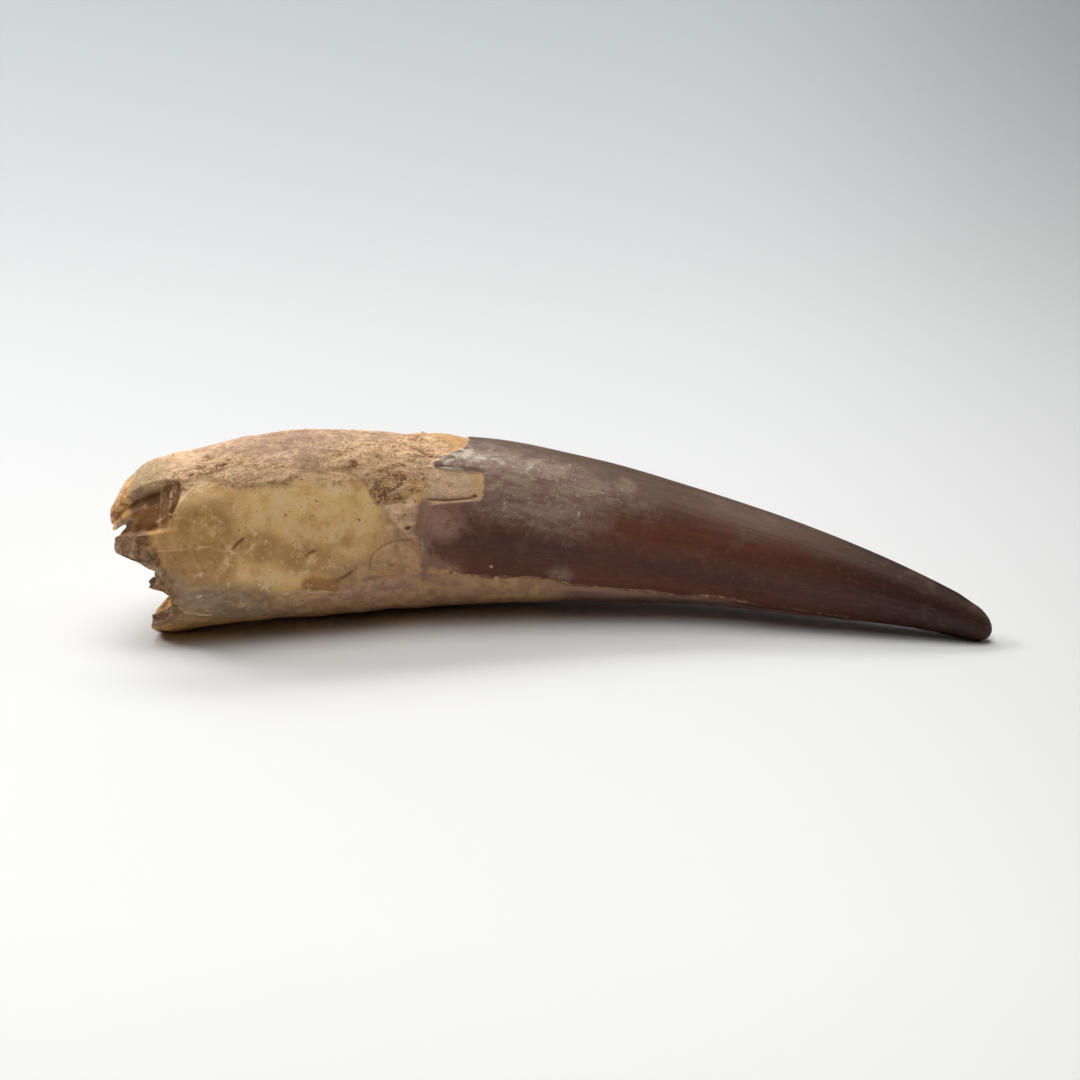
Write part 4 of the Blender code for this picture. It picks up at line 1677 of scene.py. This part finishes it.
# pale silvery film with painted glints
SILVER_FILM_AND_GLINT = Finish(enamel(142, 124, 108), enamel(196, 182, 162), 0.3, Pattern.WOOD, 0.44, 0.6)
ASHEN_FILM = Finish(enamel(146, 124, 108), enamel(120, 98, 84), 0.45, Pattern.FINE)
PALE_FLECK = bone(196, 168, 128)
DARK_FLECK = bone(104, 72, 46)
# pale scratches and painted glints
PALE_SCRATCH_AND_GLINT = bone(184, 160, 128)
# small white marks, partly painted glints
WHITE_MARK_AND_GLINT = bone(176, 160, 138)
# dark dirt and painted shade in pits and grooves
DIRT_AND_SHADE = bone(76, 50, 32)


class Layer(NamedTuple):
    """A finish laid where a stain is: half width of its edge and how far that strays, in millimetres."""

    finish: Finish
    stain: Stain
    softness: float
    ragged: float


class Fleck(NamedTuple):
    """A colour blended in where a pattern passes from one limit to the other, up to a strength."""

    colour: Colour
    pattern: Pattern
    low: float
    high: float
    strength: float = 1.0


@dataclass
class ToothMaterial:
    """The tooth's material: finishes laid over each other by the skin's fields. Millimetres, degrees."""

    clouds: bpy.types.NodeTree
    name: str = "fossil_tooth_skin"
    specular: float = 0.2
    bone_layers: tuple[Layer, ...] = (
        Layer(YELLOW_BONE, Stain.YELLOW, 1.9, 1.5),
        Layer(BROWN_BONE, Stain.BROWN, 1.0, 1.0),
        Layer(TAN_BONE, Stain.TAN, 1.6, 1.2),
        Layer(UMBER_BONE, Stain.UMBER, 0.9, 1.2),
        Layer(PINK_BONE, Stain.PINK, 1.6, 1.2),
        Layer(GREY_BONE, Stain.GREY, 1.6, 1.1),
        Layer(FLAKE_BONE, Stain.FLAKE, 0.3, 0.4),
    )
    plain_flecks: tuple[Fleck, ...] = (
        Fleck(bone(128, 94, 58), Pattern.BROAD, 0.55, 0.66, 0.4),
        Fleck(bone(132, 98, 60), Pattern.WOOD, 0.46, 0.36, 0.4),
    )
    golden_flecks: tuple[Fleck, ...] = (
        Fleck(bone(204, 175, 128), Pattern.MIDDLE, 0.54, 0.62, 0.8),
        Fleck(bone(158, 118, 72), Pattern.MIDDLE, 0.45, 0.37, 0.45),
    )
    pale_fleck: Fleck = Fleck(PALE_FLECK, Pattern.FINE, 0.57, 0.66)
    dark_fleck: Fleck = Fleck(DARK_FLECK, Pattern.FINE, 0.39, 0.31, 0.55)
    crust_layers: tuple[Layer, ...] = (
        Layer(PINK_BONE, Stain.PINK, 2.2, 1.2),
        Layer(GREY_CRUST, Stain.GREY, 1.6, 1.2),
    )
    crust_flecks: tuple[Fleck, ...] = (
        Fleck(DARK_FLECK, Pattern.WOOD, 0.45, 0.35, 0.95),
        Fleck(PALE_FLECK, Pattern.FINE, 0.55, 0.64, 0.9),
    )
    strip_along: Limits = (-21.0, -9.0)
    enamel_layers: tuple[Layer, ...] = (
        Layer(RED_ENAMEL, Stain.RED, 1.8, 1.6),
        Layer(DARK_ENAMEL, Stain.DARK, 1.6, 1.4),
    )
    enamel_flecks: tuple[Fleck, ...] = (
        Fleck(enamel(118, 90, 72), Pattern.HAIR, 0.54, 0.7, 0.14),
        Fleck(enamel(52, 34, 30), Pattern.HAIR, 0.44, 0.32, 0.16),
        Fleck(enamel(124, 98, 80), Pattern.BROAD, 0.54, 0.7, 0.22),
        Fleck(enamel(126, 100, 82), Pattern.FINE, 0.56, 0.7, 0.22),
    )
    # painted glints: silvery specks on the grey film
    film_glints: Fleck = Fleck(enamel(190, 172, 150), Pattern.FINE, 0.56, 0.68, 0.55)
    worn_climb: Limits = (34.0, 26.0)
    worn_along: Limits = (-12.5, -15.5)
    worn_rim: Limits = (1.7, 0.0)
    olive_climb: Limits = (42.0, 82.0)
    olive_stray: float = 24.0
    dark_tip_along: Limits = (25.0, 60.0)
    line_fleck: Fleck = Fleck(PALE_FLECK, Pattern.FINE, 0.54, 0.62, 0.5)
    crumbled_edge: Limits = (2.4, 0.5)
    chip_slant: float = -1.1
    chip_low: Limits = (90.0, 93.0)
    chip_high: Limits = (59.0, 57.0)
    chip_along: Limits = (-54.3, -54.8)
    spur_angle: Limits = (40.0, 48.0)
    spur_along: Limits = (-60.8, -62.4)
    matrix_depth: Limits = (0.35, 0.7)
    # relief heights over which painted shade darkens the hollows
    sunken: Limits = (-0.03, -0.22)
    # relief heights over which painted light brightens what stands up
    standing: Limits = (0.05, 0.22)
    white_roughness: float = 0.25
    bump_strength: float = 0.7
    bump_distance: float = 0.0005

    def build(self) -> bpy.types.Material:
        """Builds the node tree, layer by layer from bone to dirt and painted shade."""
        material, self.graph, shader = start_material(self.name)
        self.noises = self.shared_noises()
        self.colour, self.roughness = self.coat(BONE)
        self.lay_bone()
        self.lay_crust()
        self.lay_strip()
        self.lay_enamel()
        self.lay_line()
        self.lay_break()
        self.lay_dirt_and_shade()
        self.graph.put(shader.inputs["Base Color"], self.colour)
        self.graph.put(shader.inputs["Roughness"], self.roughness)
        shader.inputs["Specular IOR Level"].default_value = self.specular
        self.graph.put(shader.inputs["Normal"], self.bump())
        return material

    def shared_noises(self) -> dict[Pattern, Socket]:
        """One noise for each pattern: in space or, where it is drawn out, on the unrolled tooth."""
        unrolled = self.graph.node("ShaderNodeCombineXYZ")
        for target, name in zip(unrolled.inputs, ("along", "around_cos", "around_sin")):
            self.graph.put(target, self.graph.math("MULTIPLY", self.graph.read(name), MM))
        space = self.graph.node("ShaderNodeTexCoord").outputs["Object"]
        noises = {}
        for pattern in Pattern:
            scale, detail, roughness, stretch = pattern.value
            place = space if stretch == 1.0 else unrolled.outputs[0]
            sizes = {"Scale": scale, "Detail": detail, "Roughness": roughness, "Stretch": stretch}
            noises[pattern] = self.graph.use(self.clouds, Place=place, **sizes)
        return noises

    def share(self, pattern: Pattern, low: float, high: float, strength: float = 1.0) -> Socket:
        """Where a pattern passes from one limit to another, from 0 to a strength."""
        return self.graph.span(self.noises[pattern], low, high, 0.0, strength)

    def both(self, first: Socket, second: Socket | float) -> Socket:
        """The product of two masks."""
        return self.graph.math("MULTIPLY", first, second)

    def coat(self, finish: Finish) -> tuple[Socket, float]:
        """A finish's mottled colour and its roughness."""
        mottle = self.share(finish.pattern, finish.low, finish.high)
        return self.graph.blend(finish.first, finish.second, mottle), finish.roughness

    def mask(self, name: str, softness: float, ragged: float, pattern: Pattern = Pattern.MIDDLE) -> Socket:
        """A mask of one of the skin's fields, with an edge that a pattern moves to and fro.

        Args:
            name: the field.
            softness: half width of its edge, in millimetres.
            ragged: how far the edge strays, in millimetres.
            pattern: the noise that moves it.

        Returns:
            The mask.
        """
        graph = self.graph
        stray = graph.math("MULTIPLY", graph.math("SUBTRACT", self.noises[pattern], 0.5), 5.0 * ragged)
        return graph.span(graph.math("ADD", graph.read(name), stray), -softness, softness)

    def lay(self, finish: Finish, mask: Socket) -> None:
        """Lays a finish over what is there, where the mask says."""
        colour, roughness = self.coat(finish)
        self.colour = self.graph.blend(self.colour, colour, mask)
        self.roughness = self.graph.shift(self.roughness, roughness, mask)

    def tint(self, colour: Colour, mask: Socket) -> None:
        """Blends one colour over what is there, where the mask says."""
        self.colour = self.graph.blend(self.colour, colour, mask)

    def within(self, name: str, limits: Limits, strength: float = 1.0) -> Socket:
        """Where one of the skin's fields passes from one limit to the other, from 0 to a strength."""
        return self.graph.span(self.graph.read(name), *limits, 0.0, strength)

    def lay_stain(self, layer: Layer, inside: Socket | None = None) -> None:
        """Lays a layer's finish where its stain is, inside a mask if there is one."""
        mask = self.mask(layer.stain.value, layer.softness, layer.ragged)
        self.lay(layer.finish, mask if inside is None else self.both(inside, mask))

    def fleck(self, fleck: Fleck, inside: Socket | None = None) -> None:
        """Blends a fleck's colour in where its pattern is, inside a mask if there is one."""
        mask = self.share(fleck.pattern, fleck.low, fleck.high, fleck.strength)
        self.tint(fleck.colour, mask if inside is None else self.both(inside, mask))

    def lay_bone(self) -> None:
        """The smooth front of the root, its stains and its small flecks."""
        golden = self.mask(Stain.YELLOW.value, 2.6, 2.0)
        for layer in self.bone_layers:
            self.lay_stain(layer)
        plain = self.graph.span(golden, 0.0, 1.0, 1.0, 0.3)
        for fleck in self.plain_flecks:
            self.fleck(fleck, plain)
        for fleck in self.golden_flecks:
            self.fleck(fleck, golden)
        self.fleck(self.pale_fleck, self.graph.span(golden, 0.0, 1.0, 0.22, 0.6))
        self.fleck(self.dark_fleck)

    def lay_crust(self) -> None:
        """The crust on the root's upper side, its sandy places and the granular hollow."""
        self.crust_mask = self.mask("crust", 0.35, 0.6)
        self.lay(CRUST, self.crust_mask)
        for layer in self.crust_layers:
            self.lay_stain(layer, self.crust_mask)
        self.sandy_mask = self.mask(Stain.SANDY.value, 1.1, 1.1)
        self.lay(SANDY_CRUST, self.sandy_mask)
        self.hollow_mask = self.mask(Stain.HOLLOW.value, 0.3, 0.3, Pattern.FINE)
        self.lay(HOLLOW_GRIT, self.hollow_mask)
        buff_mask = self.mask(Stain.BUFF.value, 0.5, 0.9)
        self.lay(BUFF_BONE, buff_mask)
        self.lay_stain(Layer(OCHRE_BONE, Stain.OCHRE, 0.3, 0.5))
        rough = self.graph.math("MAXIMUM", self.both(self.crust_mask, 0.55), self.sandy_mask)
        rough = self.graph.math("MAXIMUM", rough, self.both(buff_mask, 0.6))
        for fleck in self.crust_flecks:
            self.fleck(fleck, rough)

    def lay_strip(self) -> None:
        """The band beside the enamel and the bare strip's dentine."""
        self.lay_stain(Layer(BAND, Stain.BAND, 0.3, 0.5))
        strip = self.both(self.mask("strip", 0.3, 0.3), self.within("along", self.strip_along))
        self.lay(DENTINE, strip)
        self.lay_stain(Layer(TAN_BONE, Stain.TAN, 1.6, 1.4), strip)

    def lay_enamel(self) -> None:
        """The enamel: red-brown below, olive above, darker to the tip, grey film with painted glints,
        silvery scratches with painted glints.
        """
        graph = self.graph
        low = self.both(self.within("climb", self.worn_climb), self.within("along", self.worn_along))
        crisp, soft = self.mask("enamel", 0.12, 0.2, Pattern.FINE), self.mask("enamel", 1.0, 0.7)
        self.enamel_mask = graph.shift(crisp, soft, low)
        under = self.colour, self.roughness
        self.colour, self.roughness = self.coat(ENAMEL)
        for layer in self.enamel_layers:
            self.lay_stain(layer)
        stray = self.share(Pattern.BROAD, 0.35, 0.65, self.olive_stray)
        climb = graph.math("ADD", graph.read("climb"), stray)
        self.lay(OLIVE_ENAMEL, graph.span(climb, *self.olive_climb))
        self.lay(TIP_ENAMEL, self.within("along", self.dark_tip_along, 0.9))
        self.film_mask = self.mask(Stain.FILM.value, 2.4, 1.1)
        self.lay(FILM_ENAMEL, self.film_mask)
        # painted glints on the grey film
        self.fleck(self.film_glints, self.film_mask)
        self.lay_stain(Layer(PURPLE_ENAMEL, Stain.PURPLE, 1.0, 1.2))
        for fleck in self.enamel_flecks:
            self.fleck(fleck)
        rim = graph.math("SUBTRACT", graph.read("enamel"), self.share(Pattern.MIDDLE, 0.35, 0.65, 1.6))
        self.lay(BAND, self.both(graph.span(rim, *self.worn_rim, 0.0, 0.7), low))
        self.lay(ASHEN_FILM, self.both(self.mask(Stain.ASHEN.value, 1.0, 0.6), 0.6))
        silvery = self.mask(Stain.SILVER.value, 0.8, 1.2)
        # pale silvery film with painted glints
        self.silver_and_glint_mask = self.both(silvery, self.share(Pattern.WOOD, 0.4, 0.54, 0.85))
        self.lay(SILVER_FILM_AND_GLINT, self.silver_and_glint_mask)
        self.colour = graph.blend(under[0], self.colour, self.enamel_mask)
        self.roughness = graph.shift(under[1], self.roughness, self.enamel_mask)

    def lay_line(self) -> None:
        """The worn line along the enamel's lower edge, tan with pale crumbs."""
        line = self.mask("line", 0.2, 0.35)
        self.lay(TAN_LINE, self.both(line, self.share(Pattern.MIDDLE, 0.36, 0.56, 0.85)))
        self.fleck(self.line_fleck, line)

    def lay_break(self) -> None:
        """The broken end: crumbled edge, glossy chip, amber spur, the cavity and its sandy matrix."""
        graph = self.graph
        near = self.within("edge", self.crumbled_edge)
        self.lay(BROKEN_BONE, self.both(near, self.share(Pattern.MIDDLE, 0.4, 0.55, 0.8)))
        self.lay_stain(Layer(DARK_GLAZE, Stain.GLAZE, 0.5, 0.6))
        slope = graph.math("MULTIPLY", graph.read("along"), self.chip_slant)
        slant = graph.math("ADD", graph.read("angle"), slope)
        chip = self.both(graph.span(slant, *self.chip_low), self.within("angle", self.chip_high))
        self.lay(CHIP_GLAZE, self.both(chip, self.within("along", self.chip_along)))
        self.lay(BROKEN_BONE, graph.read("broken"))
        above = self.within("angle", self.spur_angle)
        self.lay(AMBER_BONE, self.both(above, self.within("along", self.spur_along)))
        self.lay(CAVITY_BONE, graph.read("inner"))
        deep = graph.math("ADD", graph.read("depth"), self.share(Pattern.BROAD, 0.35, 0.65, 0.3))
        self.lay(MATRIX, graph.span(deep, *self.matrix_depth))

    def lay_dirt_and_shade(self) -> None:
        """Dirt and painted shade in pits, grooves and the relief's hollows; pale scratches, painted glints
        and painted light on what stands up; small white marks with painted glints.
        """
        graph = self.graph
        dirt_shade_glint = graph.read("dirt_shade_glint")
        # dark dirt and painted shade in pits and grooves
        self.tint(DIRT_AND_SHADE, graph.span(dirt_shade_glint, 0.05, 1.0, 0.0, 0.85))
        # pale scratches and painted glints on lit lips and edges
        self.tint(PALE_SCRATCH_AND_GLINT, graph.span(dirt_shade_glint, -0.05, -0.9, 0.0, 0.9))
        off_enamel = graph.math("SUBTRACT", 1.0, self.enamel_mask)
        relief = graph.read("relief")
        # painted shade in the hollows of the relief
        self.tint(bone(118, 84, 54), self.both(graph.span(relief, *self.sunken, 0.0, 0.45), off_enamel))
        # painted light on what stands up in the relief
        self.tint(PALE_FLECK, self.both(graph.span(relief, *self.standing, 0.0, 0.35), off_enamel))
        # small white marks, partly painted glints, a little glossier
        white_and_glint = self.both(self.mask(Stain.WHITE.value, 0.15, 0.25, Pattern.FINE), 0.85)
        self.tint(WHITE_MARK_AND_GLINT, white_and_glint)
        self.roughness = graph.shift(self.roughness, self.white_roughness, white_and_glint)

    def bump(self) -> Socket:
        """Grain finer than the mesh: grit on the crust, faint grain on bone, hair streaks on enamel."""
        graph = self.graph
        rough = graph.math("MAXIMUM", self.both(self.crust_mask, 0.5), self.sandy_mask)
        rough = graph.math("MAXIMUM", rough, self.hollow_mask)
        woody = self.both(self.noises[Pattern.WOOD], graph.span(rough, 0.0, 1.0, 0.25, 1.5))
        bone_height = graph.math("ADD", woody, self.both(self.noises[Pattern.FINE], 0.35))
        film = graph.math("MAXIMUM", self.film_mask, self.silver_and_glint_mask)
        hair = self.both(self.noises[Pattern.HAIR], 0.08)
        wrinkles = self.both(self.noises[Pattern.WOOD], graph.span(film, 0.0, 1.0, 0.0, 0.3))
        enamel_height = graph.math("ADD", hair, wrinkles)
        made = graph.node("ShaderNodeBump")
        made.inputs["Strength"].default_value = self.bump_strength
        made.inputs["Distance"].default_value = self.bump_distance
        graph.put(made.inputs["Height"], graph.shift(bone_height, enamel_height, self.enamel_mask))
        return made.outputs["Normal"]


@dataclass
class GrainMaterial:
    """Sand: pale, yellow, brown and dark grains."""

    clouds: bpy.types.NodeTree
    name: str = "sand"
    roughness: float = 0.5
    specular: float = 0.35
    mottle_scale: float = 1800.0
    tones: tuple[tuple[float, Colour], ...] = (
        (0.0, bone(182, 146, 106)),
        (0.3, bone(164, 126, 86)),
        (0.52, bone(200, 168, 126)),
        (0.7, bone(136, 98, 64)),
        (0.84, bone(188, 146, 90)),
        (0.94, bone(222, 204, 176)),
        (0.975, bone(96, 66, 46)),
    )

    def build(self) -> bpy.types.Material:
        """Colour by each grain's own tone, with a little mottle."""
        material, graph, shader = start_material(self.name)
        place = graph.node("ShaderNodeTexCoord").outputs["Object"]
        ramp = graph.node("ShaderNodeValToRGB")
        ramp.color_ramp.interpolation = "CONSTANT"
        ramp.color_ramp.elements.remove(ramp.color_ramp.elements[1])
        ramp.color_ramp.elements[0].color = (*self.tones[0][1], 1.0)
        for start, colour in self.tones[1:]:
            ramp.color_ramp.elements.new(start).color = (*colour, 1.0)
        graph.put(ramp.inputs["Fac"], graph.read("tone"))
        clouds = graph.use(self.clouds, Place=place, Scale=self.mottle_scale)
        shaded = graph.blend(ramp.outputs["Color"], DARK_FLECK, graph.span(clouds, 0.35, 0.7, 0.0, 0.35))
        graph.put(shader.inputs["Base Color"], shaded)
        shader.inputs["Roughness"].default_value = self.roughness
        shader.inputs["Specular IOR Level"].default_value = self.specular
        return material


# -------- floor, lights and camera


@dataclass(frozen=True)
class SoftBox:
    """A rectangular light that faces the tooth; azimuth 0 is the front, 90 the right. Metres, degrees."""

    name: str
    azimuth: float
    elevation: float
    distance: float
    sides: tuple[float, float]
    share: float

    def hang(self) -> None:
        """Makes the light; share * (pi * distance)^2 / sin(elevation) watts give the floor that share."""
        light = bpy.data.lights.new(self.name, "AREA")
        light.shape = "RECTANGLE"
        light.size, light.size_y = self.sides
        turned, raised = np.radians(self.azimuth), np.radians(self.elevation)
        light.energy = float(self.share * (np.pi * self.distance) ** 2 / np.sin(raised))
        across, up = float(np.cos(raised)) * self.distance, float(np.sin(raised)) * self.distance
        place = Vector((across * float(np.sin(turned)), -across * float(np.cos(turned)), up))
        made = bpy.data.objects.new(self.name, light)
        made.location = place
        made.rotation_euler = (-place).to_track_quat("-Z", "Y").to_euler()
        bpy.context.scene.collection.objects.link(made)


@dataclass
class Studio:
    """A pale sweep in metres with painted shade up its wall and to the right, soft lights, and the camera
    in millimetres.
    """

    azimuth: float = 3.3
    elevation: float = 20.0
    distance: float = 400.0
    target: tuple[float, float, float] = (-1.9, -5.3, 14.4)
    frame_width: float = 159.4
    sweep_front: float = -1.2
    sweep_foot: float = 0.16
    sweep_radius: float = 0.5
    sweep_top: float = 1.1
    sweep_half_width: float = 1.6
    surround: float = 0.004
    paper: Colour = (0.9, 0.895, 0.88)
    # wall colours: painted shade, darker up the wall and to the right
    shaded_wall_left: Colour = (0.43, 0.455, 0.46)
    shaded_wall_right: Colour = (0.36, 0.38, 0.385)
    wall_shade_from_y: Limits = (-0.1, 0.36)
    wall_shade_turns_x: Limits = (0.0, 0.15)
    # painted shade towards the right
    shade_darkens_x: Limits = (0.02, 0.2)
    darkest_shade: float = 0.33
    boxes: tuple[SoftBox, ...] = (
        SoftBox("top_box", 180.0, 84.0, 0.9, (0.62, 0.5), 0.53),
        SoftBox("back_box", 196.0, 45.0, 0.9, (0.8, 0.3), 0.42),
        SoftBox("left_box", 250.0, 38.0, 0.9, (0.3, 0.2), 0.24),
        SoftBox("right_box", 106.0, 26.0, 0.9, (0.3, 0.2), 0.045),
        SoftBox("front_box", 332.0, 70.0, 0.9, (0.4, 0.25), 0.1),
    )

    def build(self) -> None:
        """Builds the whole studio."""
        self.build_sweep()
        self.build_lights()
        self.build_camera()
        bpy.context.scene.view_settings.view_transform = "Standard"

    def build_sweep(self) -> None:
        """A floor that curves up into a wall: line, quarter circle and line, carried sideways."""
        bend = np.linspace(0.0, np.pi / 2, 40)
        y = np.concatenate([
            np.linspace(self.sweep_front, self.sweep_foot, 30)[:-1],
            self.sweep_foot + self.sweep_radius * np.sin(bend),
            [self.sweep_foot + self.sweep_radius],
        ])
        z = np.concatenate([np.zeros(29), self.sweep_radius * (1 - np.cos(bend)), [self.sweep_top]])
        x = np.linspace(-self.sweep_half_width, self.sweep_half_width, 41)
        points = np.stack(np.broadcast_arrays(x, y[:, None], z[:, None]), axis=-1)
        row, column = np.meshgrid(np.arange(len(y) - 1), np.arange(len(x) - 1), indexing="ij")
        first = row * len(x) + column
        faces = np.stack([first, first + 1, first + len(x) + 1, first + len(x)], axis=-1).reshape(-1, 4)
        sweep = make_object("sweep", points.reshape(-1, 3), faces.tolist(), {})
        sweep.data.materials.append(self.sweep_material())

    def sweep_material(self) -> bpy.types.Material:
        """White paper with painted shade that darkens it up the wall and to the right."""
        material, graph, shader = start_material("sweep_paper")
        parts = graph.node("ShaderNodeSeparateXYZ")
        graph.put(parts.inputs[0], graph.node("ShaderNodeTexCoord").outputs["Object"])
        back = graph.node("ShaderNodeMapRange")
        for target, value in zip(back.inputs, (parts.outputs["Y"], *self.wall_shade_from_y, 0.0, 1.0)):
            graph.put(target, value)
        across = graph.span(parts.outputs["X"], *self.wall_shade_turns_x)
        # painted shade up the wall
        wall = graph.blend(self.shaded_wall_left, self.shaded_wall_right, across)
        colour = graph.blend(self.paper, wall, back.outputs[0])
        # painted shade towards the right
        side_shade = graph.span(parts.outputs["X"], *self.shade_darkens_x, 0.0, self.darkest_shade)
        colour = graph.blend(colour, (0.0, 0.0, 0.0), side_shade)
        graph.put(shader.inputs["Base Color"], colour)
        shader.inputs["Roughness"].default_value = 0.9
        shader.inputs["Specular IOR Level"].default_value = 0.1
        return material

    def build_lights(self) -> None:
        """Hangs the soft boxes and gives the surround its weak glow."""
        for box in self.boxes:
            box.hang()
        world = bpy.data.worlds.new("surround")
        world.use_nodes = True
        background = world.node_tree.nodes["Background"]
        background.inputs["Color"].default_value = (0.95, 0.98, 1.0, 1.0)
        background.inputs["Strength"].default_value = self.surround
        bpy.context.scene.world = world

    def build_camera(self) -> None:
        """A camera that looks at the target from its azimuth, elevation and distance."""
        azimuth, elevation = np.radians(self.azimuth), np.radians(self.elevation)
        back = Vector((
            float(np.cos(elevation) * np.sin(azimuth)),
            float(-np.cos(elevation) * np.cos(azimuth)),
            float(np.sin(elevation)),
        ))
        right = Vector((float(np.cos(azimuth)), float(np.sin(azimuth)), 0.0))
        up = back.cross(right)
        place = (Vector(self.target) + back * self.distance) * MM
        camera = bpy.data.cameras.new("camera")
        camera.sensor_width = 36.0
        camera.lens = camera.sensor_width * self.distance / self.frame_width
        camera.clip_start = 0.01
        made = bpy.data.objects.new("camera", camera)
        made.matrix_world = Matrix((
            (right.x, up.x, back.x, place.x),
            (right.y, up.y, back.y, place.y),
            (right.z, up.z, back.z, place.z),
            (0.0, 0.0, 0.0, 1.0),
        ))
        bpy.context.scene.collection.objects.link(made)
        bpy.context.scene.camera = made


def main() -> None:
    """Builds and dresses every piece."""
    logging.basicConfig(level=logging.INFO, format="%(message)s")
    clouds = make_clouds()
    tooth, skin = Tooth().build(Weathering(ToothForm()))
    tooth.data.materials.append(ToothMaterial(clouds).build())
    logging.info("%s: %d faces", tooth.name, len(tooth.data.polygons))
    grains = SandGrains().build(skin)
    grains.data.materials.append(GrainMaterial(clouds).build())
    logging.info("%s: %d faces", grains.name, len(grains.data.polygons))
    Studio().build()
    logging.info("studio: %s", bpy.context.scene.camera.name)


if __name__ == "__main__":
    main()
